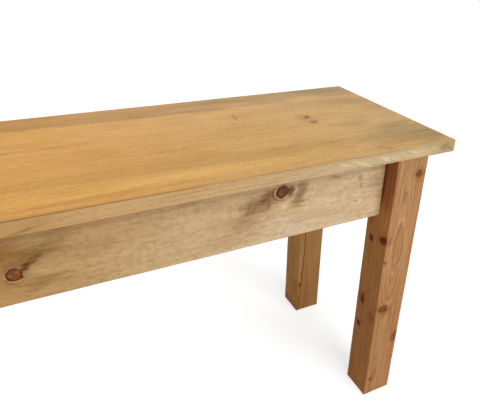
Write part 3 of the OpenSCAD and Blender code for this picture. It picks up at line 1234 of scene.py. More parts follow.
@dataclass
class Timber(Board):
    """A timber rebuilt in place of its plain solid, with worn arrises and the marks of real wood.

    Attributes:
        pitch: Greatest side of a facet on its faces.
        fine: Greatest side of a facet in a check.
        swell: How far its faces are planed out of true.
        checks: Its cracks and holes.
        cuts: What is sawn away from it.
        rules: Where loops run beside an arris, in shares of its radius.
        worn: Least and greatest radius of a worn arris, in shares of its radius.
        wave: Length of the unevenness of its faces, along the grain and across it.
        margin: How far from an arris that unevenness starts.
        touch: How near to the plane of a face a spot counts as on it.
    """

    pitch: float = 6.0
    fine: float = 0.45
    swell: float = 0.25
    checks: tuple[Check, ...] = ()
    cuts: tuple[Cut, ...] = ()

    rules: ClassVar[tuple[float, ...]] = (0.35, 0.9, 1.7, 3.2)
    worn: ClassVar[Flat] = (0.45, 1.7)
    wave: ClassVar[Flat] = (90.0, 34.0)
    margin: ClassVar[float] = 8.0
    touch: ClassVar[float] = 0.01

    def build(self, shelf: EffectShelf) -> bpy.types.Object:
        """Builds the piece, dresses it and puts it in place of its node.

        Args:
            shelf: The shared effects.

        Returns:
            The finished piece.
        """
        work = self._blank()
        self._rule(work)
        self._refine(work)
        self._carve(work)
        bmesh.ops.triangulate(work, faces=[face for face in work.faces if len(face.verts) > 4])
        for face in work.faces:
            face.smooth = True
        bmesh.ops.scale(work, vec=(MM, MM, MM), verts=work.verts)
        piece = link_mesh(work, f"{self.node}_timber")
        piece.data.materials.append(self.finish.material(shelf, self))
        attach(piece, "root")
        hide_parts(self.node)
        faces, knots, checks = len(piece.data.polygons), len(self.knots), len(self.checks)
        log.info("%s: %d faces, %d knots, %d checks", self.node, faces, knots, checks)
        return piece

    def _blank(self) -> bmesh.types.BMesh:
        """Saws the squared timber, with its grooves and housings cut away.

        Returns:
            The mesh of the blank.
        """
        low, high = self.box
        work = bmesh.new()
        bmesh.ops.create_cube(work, size=1.0)
        bmesh.ops.scale(work, vec=high - low, verts=work.verts)
        bmesh.ops.translate(work, vec=(low + high) / 2, verts=work.verts)
        if not self.cuts:
            return work
        blank = link_mesh(work, "blank")
        cutters = [cut.build() for cut in self.cuts]
        for cutter in cutters:
            blank.modifiers.new(cutter.name, "BOOLEAN").object = cutter
        work = bmesh.new()
        work.from_object(blank, bpy.context.evaluated_depsgraph_get())
        for spare in (blank, *cutters):
            bpy.data.meshes.remove(spare.data)
        return work

    @staticmethod
    def _slice(work: bmesh.types.BMesh, axis: int, places: Iterable[float]) -> None:
        """Cuts loops across the mesh at places on an axis.

        Args:
            work: The mesh.
            axis: The axis.
            places: Where the cuts cross it.
        """
        normal = Vector(float(i == axis) for i in range(3))
        for place in places:
            geometry = work.verts[:] + work.edges[:] + work.faces[:]
            bmesh.ops.bisect_plane(work, geom=geometry, plane_co=normal * place, plane_no=normal)

    def _rule(self, work: bmesh.types.BMesh) -> None:
        """Rules loops beside each arris and cut, then a grid of even pitch over the faces.

        Args:
            work: The mesh.
        """
        low, high = self.box
        steps = [self.arris * share for share in self.rules]
        for axis in range(3):
            places = [low[axis] + step for step in steps] + [high[axis] - step for step in steps]
            for cut in self.cuts:
                places += [place for place in cut.sides(axis) if low[axis] < place < high[axis]]
            self._slice(work, axis, places)
        for axis in range(3):
            counts: dict[int, list[bmesh.types.BMEdge]] = {}
            for edge in work.edges:
                run = edge.verts[1].co - edge.verts[0].co
                cuts = math.ceil(abs(run[axis]) / self.pitch) - 1
                if cuts > 0 and abs(run[axis]) > 0.999 * run.length:
                    counts.setdefault(cuts, []).append(edge)
            for cuts, edges in counts.items():
                bmesh.ops.subdivide_edges(work, edges=edges, cuts=cuts, use_grid_fill=True)

    def _refine(self, work: bmesh.types.BMesh) -> None:
        """Makes the facets finer along each check and round each knot.

        Args:
            work: The mesh.
        """
        for face in Face:
            checks = [check for check in self.checks if check.side.face is face]
            knots = [knot for knot in self.knots if knot.side.face is face and knot.kind is not KnotKind.NONE]
            for marks, pitch in ((checks, self.fine), (knots, 2 * self.fine)):
                if marks:
                    self._divide_near(work, face, pitch, lambda spot: min(mark.gap(spot) for mark in marks))

    def _divide_near(
        self, work: bmesh.types.BMesh, face: Face, pitch: float, gap: Callable[[Vector], float]
    ) -> None:
        """Halves the edges near the marks of a face until none is longer than the pitch.

        Args:
            work: The mesh.
            face: The face that the marks are on.
            pitch: Greatest length of an edge there.
            gap: Gives the distance from a spot to the nearest mark.
        """
        candidates = [edge for edge in work.edges if all(self._on(face, vert.co) for vert in edge.verts)]
        while candidates:
            edges = []
            for edge in candidates:
                start, end = (vert.co for vert in edge.verts)
                length = (end - start).length
                if length > pitch and gap((start + end) / 2) < length / 2:
                    edges.append(edge)
            if not edges:
                return
            result = bmesh.ops.subdivide_edges(work, edges=edges, cuts=1, use_grid_fill=True)
            made = result["geom_inner"] + result["geom_split"]
            new = dict.fromkeys(item for item in made if isinstance(item, bmesh.types.BMVert))
            candidates = list(dict.fromkeys(edge for vert in new for edge in vert.link_edges))

    def _on(self, face: Face, spot: Vector) -> bool:
        """Says whether a spot lies on a face."""
        plane = self.box[1 if face.sign > 0 else 0][face.axis]
        return abs(spot[face.axis] - plane) < self.touch

    def _carve(self, work: bmesh.types.BMesh) -> None:
        """Sinks the marks into the faces and rounds the arrises, unevenly as handling wears them.

        Args:
            work: The mesh.
        """
        places = []
        for vert in work.verts:
            spot = vert.co.copy()
            sink = Vector(ZERO)
            for face in Face:
                if self._on(face, spot):
                    sink -= Vector(face.value) * self._depth(face, spot)
            places.append(self._rounded(spot) + sink)
        for vert, place in zip(work.verts, places):
            vert.co = place

    def _rounded(self, spot: Vector) -> Vector:
        """Moves a spot near an arris onto the worn round of that arris.

        Args:
            spot: A place on the timber.

        Returns:
            The place moved, or the same place away from the arrises.
        """
        low, high = self.box
        wear = 1.0 + 0.7 * noise.noise(spot / 37.0) + 0.35 * noise.noise(spot / 8.0)
        radius = self.arris * min(max(wear, self.worn[0]), self.worn[1])
        core = Vector(min(max(spot[i], low[i] + radius), high[i] - radius) for i in range(3))
        away = spot - core
        return core + away.normalized() * radius if away.length > 1e-6 else spot

    def _depth(self, face: Face, spot: Vector) -> float:
        """Gives how far a face is sunk at a spot.

        Args:
            face: The face.
            spot: A place on it.

        Returns:
            The depth below the true face, never less than zero.
        """
        low, high = self.box
        border = min(min(spot[i] - low[i], high[i] - spot[i]) for i in range(3) if i != face.axis)
        along = self.grain.value[0]
        waves = Vector(spot[i] / (self.wave[0] if i == along else self.wave[1]) for i in range(3))
        waves += Vector((self.finish.seed, 3.0, 7.0))
        depth = self.swell * min(border / self.margin, 1.0) * (0.5 + 0.5 * noise.noise(waves))
        return depth + sum(mark.depth_at(spot) for mark in self.checks + self.knots if mark.side.face is face)


@dataclass
class Studio:
    """The camera that stands where the photograph was taken, soft lamps, a pale floor and a white backdrop.

    Attributes:
        image: Width and height of the photograph in pixels.
        focal_pixels: Focal length of its camera in pixels.
        centre_pixels: The pixel that its optical axis goes through.
        place: Where the camera stands.
        turn: How the camera is turned, in degrees about X, Y and Z.
        sensor: Width of its sensor.
        floor_radius: Radius of the round floor.
        floor_colour: Colour of the floor for the light that falls on it.
        seen_floor: Its colour to the camera, which keeps the shadow.
        seen_glow: How much it glows to the camera, which makes it white.
        lamps: The direction, the strength and the spread in degrees of each lamp.
        ambient: Strength of the light from all round.
    """

    image: tuple[int, int] = (480, 409)
    focal_pixels: float = 500.7
    centre_pixels: tuple[float, float] = (287.9, 195.8)
    place: Point = (88.5, -613.4, 696.3)
    turn: Point = (62.761, -2.309, -27.883)
    sensor: float = 36.0
    floor_radius: float = 6000.0
    floor_colour: Tint = (0.40, 0.37, 0.34)
    seen_floor: Tint = (0.60, 0.60, 0.60)
    seen_glow: float = 0.62
    lamps: dict[str, tuple[Point, float, float]] = field(default_factory=lambda: {
        "window": ((0.12, -0.82, 0.47), 2.25, 44.0),
        "ceiling": ((-0.05, -0.10, 0.99), 0.62, 60.0),
        "back_fill": ((0.45, 0.80, 0.35), 0.45, 50.0),
        "left_fill": ((-0.90, -0.20, 0.30), 0.31, 60.0),
    })
    ambient: float = 0.26

    def build(self) -> None:
        """Sets up the whole studio."""
        self._camera()
        for name, (towards, strength, spread) in self.lamps.items():
            self._lamp(name, Vector(towards), strength, spread)
        self._world()
        self._floor()
        bpy.context.scene.view_settings.view_transform = "Standard"
        log.info("studio: %d lamps", len(self.lamps))

    def _camera(self) -> None:
        """Stands the camera at the photograph's viewing angle."""
        width, height = self.image
        data = bpy.data.cameras.new("camera")
        data.sensor_width = self.sensor
        data.lens = self.focal_pixels / width * self.sensor
        data.shift_x = (width / 2 - self.centre_pixels[0]) / width
        data.shift_y = (self.centre_pixels[1] - height / 2) / width
        camera = bpy.data.objects.new("camera", data)
        camera.location = Vector(self.place) * MM
        camera.rotation_euler = Euler([math.radians(angle) for angle in self.turn])
        bpy.context.scene.collection.objects.link(camera)
        bpy.context.scene.camera = camera

    @staticmethod
    def _lamp(name: str, towards: Vector, strength: float, spread: float) -> None:
        """Adds a soft far lamp.

        Args:
            name: Its name.
            towards: Direction from the bench to the lamp.
            strength: Its strength.
            spread: The angle that it fills, in degrees: wider is softer.
        """
        data = bpy.data.lights.new(name, "SUN")
        data.energy = strength
        data.angle = math.radians(spread)
        lamp = bpy.data.objects.new(name, data)
        lamp.rotation_euler = towards.to_track_quat("Z", "Y").to_euler()
        bpy.context.scene.collection.objects.link(lamp)

    def _world(self) -> None:
        """Lights the bench from all round and shows white behind it."""
        world = bpy.data.worlds.new("studio")
        world.use_nodes = True
        bpy.context.scene.world = world
        sketch = Sketch(world.node_tree)
        background = world.node_tree.nodes["Background"]
        background.inputs["Color"].default_value = WHITE
        strength = sketch.mixed(sketch.seen(), 1.0 - self.ambient, self.ambient)
        sketch.feed(background.inputs["Strength"], strength)

    def _floor(self) -> None:
        """Lays a pale floor that keeps the bench's shadow and looks white to the camera."""
        work = bmesh.new()
        bmesh.ops.create_circle(work, cap_ends=True, segments=64, radius=self.floor_radius * MM)
        floor = link_mesh(work, "floor")
        material, sketch, shader = open_material("floor")
        seen = sketch.seen()
        colour = sketch.blend("MIX", seen, (*self.floor_colour, 1.0), (*self.seen_floor, 1.0))
        sketch.feed(shader.inputs["Base Color"], colour)
        shader.inputs["Roughness"].default_value = 1.0
        shader.inputs["Specular IOR Level"].default_value = 0.0
        shader.inputs["Emission Color"].default_value = WHITE
        sketch.feed(shader.inputs["Emission Strength"], sketch.times(seen, self.seen_glow))
        floor.data.materials.append(material)


# Partly painted light: the seat's end tints make it warmer and brighter at its left and duller and greyer
# towards its right end, partly its own tone and partly painted falloff of light and sheen.
SEAT_PINE = PineFinish(
    "seat_pine", early=(223, 174, 94), late=(190, 140, 70), contrast=0.20, ring_width=8.0,
    pith=(0.0, 60.0, 330.0), slope=(0.0, -0.03, 0.06), wander=22.0, wobble=7.0,
    left=(1.04, 0.94, 0.84), right=(0.82, 0.85, 0.88), blotch=(0.86, 0.83, 0.74), blotch_share=0.7,
    streak=0.18, pore=0.10, speckle=0.38, wear=(0.90, 0.82, 0.72), roughness=0.50, seed=3.0,
)
FRONT_APRON_PINE = PineFinish(
    "apron_pine", early=(216, 184, 136), late=(176, 138, 94), contrast=0.14, ring_width=6.5,
    pith=(0.0, -158.0, 405.0), slope=(0.0, 0.01, 0.03), wander=26.0, wobble=15.0,
    left=(0.74, 0.64, 0.48), right=(1.12, 1.25, 1.52), blotch=(0.86, 0.79, 0.72), blotch_share=0.9,
    streak=0.26, pore=0.34, speckle=0.6, wear=(0.86, 0.74, 0.62), roughness=0.58, seed=7.0,
)
BACK_APRON_PINE = replace(
    FRONT_APRON_PINE, pith=(0.0, 150.0, 376.0), left=(0.96, 0.94, 0.9), right=(0.84, 0.8, 0.74), seed=11.0,
)
END_APRON_PINE = replace(
    FRONT_APRON_PINE, pith=(0.0, 402.0, 470.0), left=(0.9, 0.86, 0.8), right=(0.86, 0.82, 0.76), seed=15.0,
)
LEG_PINE = PineFinish(
    "leg_pine", early=(199, 153, 107), late=(146, 95, 59), contrast=0.42, ring_width=2.6,
    pith=(0.0, 536.0, -262.0), slope=(0.0, 0.004, 0.006), wander=5.0, wobble=3.0,
    left=(0.88, 0.84, 0.78), right=(1.0, 1.0, 1.0), blotch=(0.84, 0.74, 0.64), blotch_share=0.7,
    streak=0.62, pore=0.3, speckle=0.3, wear=(1.10, 1.06, 1.0), roughness=0.52, gloss=0.06, seed=21.0,
)
# Painted light: the back legs take a copy of the leg pine that is lighter towards their tops, making up for
# the shade of the front leg and apron, and darker towards their feet.
BACK_LEG_PINE_PAINTED_LIGHT = replace(LEG_PINE, left=(0.82, 0.78, 0.61), right=(1.21, 1.27, 1.11))
INNER_PINE = PineFinish(
    "inner_pine", early=(216, 180, 130), late=(178, 138, 92), contrast=0.5, ring_width=4.5,
    pith=(0.0, -60.0, 380.0), wear=(0.92, 0.88, 0.82), roughness=0.66, seed=31.0,
)


@dataclass
class Seat:
    """The wide plank that one sits on: flat sawn, honey stained, with two small knots near its right end."""

    node: str = "seat_plank"
    slot: str = "seat_pine"
    top: ClassVar[Side] = Sides("seat_plank", 3.0).top
    edge: ClassVar[Side] = Sides("seat_plank", 2.0).front
    knots: tuple[Knot, ...] = (
        Knot(top, (463, 12.5), (4.8, 2.7), 30, KnotKind.PIN, swirl=8, turn=-35, groove=0.08),
        Knot(top, (461.5, -11), (5.6, 3.4), 26, KnotKind.OLIVE, swirl=6, turn=-30, groove=0.06),
        Knot(top, (-402, 58), (7.2, 4.6), 30, KnotKind.BROWN, swirl=6, turn=18, groove=0.1),
        Knot(top, (-188, -84), (4.4, 3), 26, KnotKind.PIN, swirl=3, turn=-20, groove=0.08),
    )
    stains_and_painted_light: tuple[StainAndPaintedLight, ...] = (
        StainAndPaintedLight(top, (300, 122), (620, 31), (0.77, 0.75, 0.77), soft=0.22, ragged=0.28),
        StainAndPaintedLight(top, (250, 97), (160, 8), (0.84, 0.84, 0.86), soft=0.7, ragged=0.3),
        StainAndPaintedLight(top, (362, 130), (62, 14), (0.74, 0.72, 0.74), soft=0.8),
        StainAndPaintedLight(top, (560, 132), (110, 26), (0.74, 0.76, 0.84), ragged=0.4),
        StainAndPaintedLight(top, (508, 103), (48, 15), (1.34, 1.37, 1.16), ragged=0.4),
        StainAndPaintedLight(top, (378, 104), (34, 11), (1.2, 1.22, 1.1), ragged=0.4),
        StainAndPaintedLight(top, (120, 108), (90, 16), (0.9, 0.94, 0.8), soft=1, ragged=0.6),
        StainAndPaintedLight(top, (96, 122), (36, 12), (1.12, 1.08, 1.04), soft=1),
        StainAndPaintedLight(top, (516, -36), (56, 24), (0.86, 0.85, 0.78), -28, soft=1, ragged=0.4),
        StainAndPaintedLight(top, (556, -72), (70, 26), (0.9, 0.89, 0.84), -24, soft=1, ragged=0.4),
        StainAndPaintedLight(top, (410, -82), (90, 14), (0.92, 0.91, 0.82), ragged=0.6),
        StainAndPaintedLight(top, (458, -115), (9, 7), (0.86, 0.78, 0.72), soft=1),
        StainAndPaintedLight(top, (502, -138), (13, 7), (0.84, 0.78, 0.68), 20, ragged=0.6),
        StainAndPaintedLight(top, (410, -144), (40, 4), (0.88, 0.84, 0.72), ragged=0.6),
        StainAndPaintedLight(top, (44, 21.4), (34, 3), (0.46, 0.29, 0.22), ragged=0.4),
        StainAndPaintedLight(top, (120, 21.5), (90, 2.6), (0.86, 0.76, 0.64), ragged=0.6),
        StainAndPaintedLight(top, (458, 6), (22, 33), (0.8, 0.7, 0.66), soft=1, ragged=0.3),
        StainAndPaintedLight(top, (400, 8), (60, 2.5), (0.9, 0.86, 0.8), -6),
        StainAndPaintedLight(top, (230, -87), (300, 17), (0.89, 0.88, 0.78), 2, soft=0.4, ragged=0.4),
        StainAndPaintedLight(top, (190, -70), (150, 2), (0.84, 0.8, 0.74)),
        StainAndPaintedLight(top, (230, -119), (300, 15), (1.12, 1.18, 1.2), soft=0.7, ragged=0.3),
        StainAndPaintedLight(top, (110, -133), (90, 7), (0.86, 0.82, 0.74), soft=0.8),
        StainAndPaintedLight(top, (200, -148), (330, 4), (0.92, 0.86, 0.76), soft=0.7, ragged=0.3),
        StainAndPaintedLight(top, (565, -95), (85, 64), (0.76, 0.79, 0.74)),
        StainAndPaintedLight(top, (600, -100), (40, 50), (0.8, 0.82, 0.8)),
        StainAndPaintedLight(top, (600, 30), (60, 130), (0.9, 0.88, 0.88), soft=1),
        StainAndPaintedLight(top, (530, 66), (190, 40), (0.86, 0.84, 0.89), soft=1, ragged=0.4),
        StainAndPaintedLight(top, (530, -104), (130, 56), (0.87, 0.85, 0.86), soft=1, ragged=0.4),
        StainAndPaintedLight(top, (600, -128), (44, 34), (0.8, 0.78, 0.82), soft=1, ragged=0.4),
        StainAndPaintedLight(top, (360.5, 49), (4.6, 22), (0.7, 0.62, 0.5), 7, ragged=0.3),
        StainAndPaintedLight(top, (440, -92), (34, 5), (0.84, 0.82, 0.76), ragged=0.6),
        StainAndPaintedLight(top, (494, -131), (9, 8), (0.86, 0.78, 0.74)),
        StainAndPaintedLight(top, (474, -124), (20, 10), (1.1, 1.07, 0.94), -14, soft=1),
        StainAndPaintedLight(top, (546, -136), (26, 9), (1.14, 1.12, 0.96), -8, soft=1),
        StainAndPaintedLight(top, (530, -128), (14, 2.6), (0.84, 0.76, 0.7), -24, ragged=0.6),
        StainAndPaintedLight(edge, (330, 446), (1500, 12.2), (0.87, 1.07, 2.16), soft=0.1, ragged=0.03, depth=2.6),
        StainAndPaintedLight(edge, (510, 446), (300, 18), (1.15, 1.23, 1.31), ragged=0.1),
        StainAndPaintedLight(edge, (30, 446), (170, 18), (0.82, 0.8, 0.68), ragged=0.2),
        StainAndPaintedLight(edge, (90, 456.2), (260, 1), (0.58, 0.5, 0.42), soft=0.7, ragged=0.3, depth=1.4),
        StainAndPaintedLight(edge, (420, 456.4), (200, 0.8), (0.78, 0.66, 0.48), depth=1.2),
        StainAndPaintedLight(edge, (290, 445), (170, 0.9), (0.8, 0.76, 0.7), 0.6, soft=0.7, ragged=0.4),
        StainAndPaintedLight(edge, (200, 450.5), (130, 0.8), (0.82, 0.78, 0.72), -0.5, soft=0.7, ragged=0.4),
        StainAndPaintedLight(edge, (350, 448.5), (90, 0.7), (0.84, 0.8, 0.74), 1.2, soft=0.7, ragged=0.4),
        StainAndPaintedLight(edge, (130, 443), (80, 0.8), (0.8, 0.74, 0.66), -1, soft=0.7, ragged=0.4),
        StainAndPaintedLight(edge, (470, 442.5), (70, 0.8), (0.84, 0.8, 0.74), 0.8, soft=0.7, ragged=0.4),
        StainAndPaintedLight(edge, (66, 443.5), (24, 2.6), (0.76, 0.66, 0.56), -10, soft=0.8),
        StainAndPaintedLight(edge, (240, 447), (36, 3), (1.08, 1.1, 1.12), 3),
        StainAndPaintedLight(edge, (546, 447), (46, 9), (1.15, 1.13, 1.08)),
        StainAndPaintedLight(edge, (424, 449.5), (19, 2.6), (1.22, 1.25, 1.32), 20, ragged=0.6),
        StainAndPaintedLight(edge, (452, 447), (26, 3.2), (1.24, 1.26, 1.34), 24, ragged=0.6),
        StainAndPaintedLight(edge, (488, 448), (17, 3.2), (1.26, 1.28, 1.36), 30, ragged=0.6),
        StainAndPaintedLight(edge, (505, 445.5), (30, 2.6), (1.14, 1.17, 1.22), 18, ragged=0.6),
        StainAndPaintedLight(edge, (540, 448), (22, 2.4), (1.1, 1.12, 1.14), 22, ragged=0.6),
        StainAndPaintedLight(edge, (470, 450), (13, 1.6), (0.84, 0.82, 0.74), 26),
        StainAndPaintedLight(edge, (525, 450.5), (15, 1.6), (0.84, 0.82, 0.74), 20),
        StainAndPaintedLight(top, (-396, 58), (60, 15), (0.86, 0.8, 0.72), 6),
        StainAndPaintedLight(top, (-480, -70), (150, 34), (0.9, 0.88, 0.8), -3, soft=0.8),
        StainAndPaintedLight(top, (-150, -118), (240, 14), (1.06, 1.08, 1.08), soft=0.8, ragged=0.4),
        StainAndPaintedLight(edge, (594, 448), (20, 8.5), (0.8, 0.72, 0.6), soft=0.8, ragged=0.7),
        StainAndPaintedLight(edge, (589, 449), (10, 1.7), (0.66, 0.55, 0.44), -35, soft=0.8),
        StainAndPaintedLight(edge, (600, 446), (9, 1.6), (0.66, 0.55, 0.44), 30, soft=0.8),
    )

    def build(self, shelf: EffectShelf) -> None:
        """Builds the plank.

        Args:
            shelf: The shared effects.
        """
        Timber(
            self.node, Grain.ALONG_X, SEAT_PINE, self.slot, arris=0.9, fade=(60.0, 600.0),
            knots=self.knots, stains_and_painted_light=self.stains_and_painted_light, swell=0.3,
        ).build(shelf)


@dataclass
class ApronFrame:
    """The four aprons under the seat, grooved inside for the buttons and housed for the battens."""

    slot: str = "apron_pine"
    groove_depth: float = 9.0
    groove_drop: float = 9.0
    tongue: float = 6.0
    fit: float = 0.2
    housing: float = 6.0
    overrun: float = 2.0
    front: ClassVar[Side] = Sides("front_apron", 20.0).front
    back: ClassVar[Side] = Sides("back_apron", 20.0).back
    left: ClassVar[Side] = Sides("left_apron", 20.0).left
    right: ClassVar[Side] = Sides("right_apron", 20.0).right
    knots: tuple[Knot, ...] = (
        Knot(front, (354, 413.8), (8.4, 8.3), 46, KnotKind.RED, swirl=14, groove=0.5, lean=(-0.8, -0.6)),
        Knot(front, (48, 380.5), (7.6, 7.4), 40, KnotKind.ORANGE, swirl=12, groove=0.5, lean=(-0.4, -0.5)),
    )
    back_knots: tuple[Knot, ...] = (
        Knot(back, (-232, 398), (8.2, 7.8), 46, KnotKind.RED, swirl=12, groove=0.5, lean=(0.6, 0.6)),
        Knot(back, (302, 366), (5.2, 4.6), 30, KnotKind.BROWN, swirl=6),
    )
    back_stains: tuple[StainAndPaintedLight, ...] = (
        StainAndPaintedLight(back, (-212, 404), (40, 14), (0.62, 0.55, 0.48), 14, ragged=0.6),
        StainAndPaintedLight(back, (60, 380), (150, 22), (0.9, 0.86, 0.82), 4, ragged=0.6),
    )
    right_knots: tuple[Knot, ...] = (
        Knot(right, (28, 398), (6.6, 6), 30, KnotKind.BROWN, swirl=8),
    )
    left_knots: tuple[Knot, ...] = (
        Knot(left, (-40, 372), (5.2, 4.6), 30, KnotKind.FAINT, swirl=6),
    )
    stains_and_painted_light: tuple[StainAndPaintedLight, ...] = (
        StainAndPaintedLight(front, (319, 401.5), (38, 24), (0.58, 0.5, 0.44), -24, ragged=0.4),
        StainAndPaintedLight(front, (334, 412), (18, 9), (0.66, 0.57, 0.48), -36, soft=0.8),
        StainAndPaintedLight(front, (312, 361), (24, 12), (1.0, 0.94, 0.98), -10, soft=1, ragged=0.7),
        StainAndPaintedLight(front, (380, 366), (16, 9), (1.0, 0.95, 0.98), soft=1, ragged=0.7),
        StainAndPaintedLight(front, (335.5, 399), (4, 8), (0.8, 0.68, 0.54), 28, soft=0.7, ragged=0.3),
        StainAndPaintedLight(front, (326, 405), (13, 1.7), (0.8, 0.74, 0.66), -60, soft=0.8, ragged=0.4),
        StainAndPaintedLight(front, (317, 401), (13, 1.7), (0.8, 0.74, 0.66), -68, soft=0.8, ragged=0.4),
        StainAndPaintedLight(front, (307.5, 397), (12, 1.7), (0.8, 0.74, 0.66), -76, soft=0.8, ragged=0.4),
        StainAndPaintedLight(front, (341.5, 414), (2.4, 7), (0.72, 0.54, 0.38), 8, soft=0.7, ragged=0.2),
        StainAndPaintedLight(front, (375, 399), (17, 12), (0.8, 0.73, 0.65), soft=0.8, ragged=0.6),
        # Painted shade: darkens the apron towards its right end, beside the leg.
        StainAndPaintedLight(front, (500, 401), (20, 15), (0.76, 0.72, 0.7), ragged=0.6),
        StainAndPaintedLight(front, (296, 402), (2.6, 6), (0.82, 0.7, 0.54), 20, soft=0.8, ragged=0.4),
        StainAndPaintedLight(front, (470, 377), (5, 3.4), (0.82, 0.76, 0.7), 20, ragged=0.6),
        StainAndPaintedLight(front, (404, 399), (9, 4.4), (0.86, 0.84, 0.84), ragged=0.6),
        StainAndPaintedLight(front, (306, 391), (24, 11), (0.84, 0.79, 0.75), -24, ragged=0.9),
        StainAndPaintedLight(front, (338, 406), (21, 20), (0.74, 0.68, 0.6), -20, soft=0.8, ragged=0.4),
        StainAndPaintedLight(front, (380, 408), (14, 24), (0.54, 0.48, 0.44), 12, soft=0.8),
        StainAndPaintedLight(front, (366, 413), (7.5, 11.5), (0.38, 0.27, 0.2), 10, soft=0.7, ragged=0.2),
        StainAndPaintedLight(front, (374, 412.5), (3.4, 5.4), (1.48, 1.54, 1.62), 10, ragged=0.2),
        StainAndPaintedLight(front, (357, 393), (8.5, 10), (1.26, 1.3, 1.36), 8, soft=1, ragged=0.4),
        StainAndPaintedLight(front, (390, 362), (120, 22), (0.99, 1.03, 1.13), soft=1),
        StainAndPaintedLight(front, (352, 372), (40, 22), (1.05, 1.06, 1.12), -12, soft=1),
        StainAndPaintedLight(front, (430, 402), (30, 16), (0.94, 0.94, 0.95), soft=1, ragged=0.6),
        StainAndPaintedLight(front, (300, 372), (62, 26), (0.88, 0.82, 0.8), -12, ragged=0.6),
        StainAndPaintedLight(front, (66, 392.5), (20, 6), (0.62, 0.55, 0.48), -36, soft=0.8),
        StainAndPaintedLight(front, (59, 387), (9, 5.5), (0.44, 0.34, 0.32), -40, soft=0.8, ragged=0.2),
        StainAndPaintedLight(front, (80, 405), (40, 19), (0.69, 0.67, 0.56), -30, soft=0.8, ragged=0.6),
        StainAndPaintedLight(front, (72, 365), (36, 13), (0.68, 0.62, 0.5), -14, ragged=0.7),
        StainAndPaintedLight(front, (44, 406), (46, 26), (0.66, 0.58, 0.44)),
        StainAndPaintedLight(front, (0, 400), (80, 50), (0.86, 0.79, 0.68), ragged=0.4),
        StainAndPaintedLight(front, (432, 420), (12, 5), (0.76, 0.7, 0.62), 10, ragged=0.6),
        # Painted shade: darkens the apron's top near its right end, under the seat and beside the leg.
        StainAndPaintedLight(front, (500, 418), (26, 16), (0.86, 0.8, 0.76), 20, ragged=0.6),
        StainAndPaintedLight(front, (473, 412), (6, 7), (0.78, 0.7, 0.58), ragged=0.6),
        StainAndPaintedLight(front, (476, 401), (4.5, 5.5), (0.78, 0.7, 0.6), ragged=0.6),
        # Painted shade: a reddish dark strip over the apron's last few millimetres, where it meets the leg's
        # side.
        StainAndPaintedLight(front, (517, 392), (5.5, 90), (0.6, 0.33, 0.15), soft=1, ragged=0.2),
    )

    def build(self, shelf: EffectShelf) -> None:
        """Builds the four aprons.

        Args:
            shelf: The shared effects.
        """
        long, short = (Grain.ALONG_X, 1, (-60.0, 470.0)), (Grain.ALONG_Y, 0, (-90.0, 90.0))
        for node, finish, (grain, across, fade), inner, knots, stains_and_painted_light in (
            ("front_apron", FRONT_APRON_PINE, long, 1.0, self.knots, self.stains_and_painted_light),
            ("back_apron", BACK_APRON_PINE, long, -1.0, self.back_knots, self.back_stains),
            ("left_apron", END_APRON_PINE, short, 1.0, self.left_knots, ()),
            ("right_apron", END_APRON_PINE, short, -1.0, self.right_knots, ()),
        ):
            Timber(
                node, grain, finish, self.slot, arris=0.8, fade=fade, knots=knots, stains_and_painted_light=stains_and_painted_light,
                cuts=self._cuts(node, across, inner),
            ).build(shelf)

    def _cuts(self, node: str, across: int, inner: float) -> tuple[Cut, ...]:
        """Works out an apron's groove and housings.

        Args:
            node: The apron.
            across: The axis that its thickness lies on.
            inner: Plus or minus one, as its inner face looks up or down that axis.

        Returns:
            The cuts.
        """
        low, high = corners(node)
        inside = high[across] if inner > 0 else low[across]
        ceiling = high.z - self.groove_drop + self.fit
        groove = self._inward(low, high, across, inside, inner, self.groove_depth)
        groove[0].z, groove[1].z = ceiling - self.tongue - 3 * self.fit, ceiling - self.fit
        cuts = [groove]
        for batten in ("left_batten", "middle_batten", "right_batten") if across == 1 else ():
            rest, top = corners(batten)
            housing = self._inward(low, high, across, inside, inner, self.housing + self.fit)
            housing[0].x, housing[1].x = rest.x - self.fit, top.x + self.fit
            housing[0].z = rest.z
            cuts.append(housing)
        return tuple(Cut(tuple(start), tuple(end)) for start, end in cuts)

    def _inward(
        self, low: Vector, high: Vector, across: int, inside: float, inner: float, depth: float
    ) -> tuple[Vector, Vector]:
        """Gives a box over the whole apron that reaches a depth into its inner face.

        Args:
            low: The apron's lowest corner.
            high: Its highest corner.
            across: The axis that its thickness lies on.
            inside: Where its inner face lies on that axis.
            inner: Plus or minus one, as that face looks up or down the axis.
            depth: How deep the box reaches.

        Returns:
            The lowest and the highest corner of the box.
        """
        spare = Vector((self.overrun,) * 3)
        start, end = low - spare, high + spare
        ends = sorted((inside - inner * depth, inside + inner * self.overrun))
        start[across], end[across] = ends
        return start, end


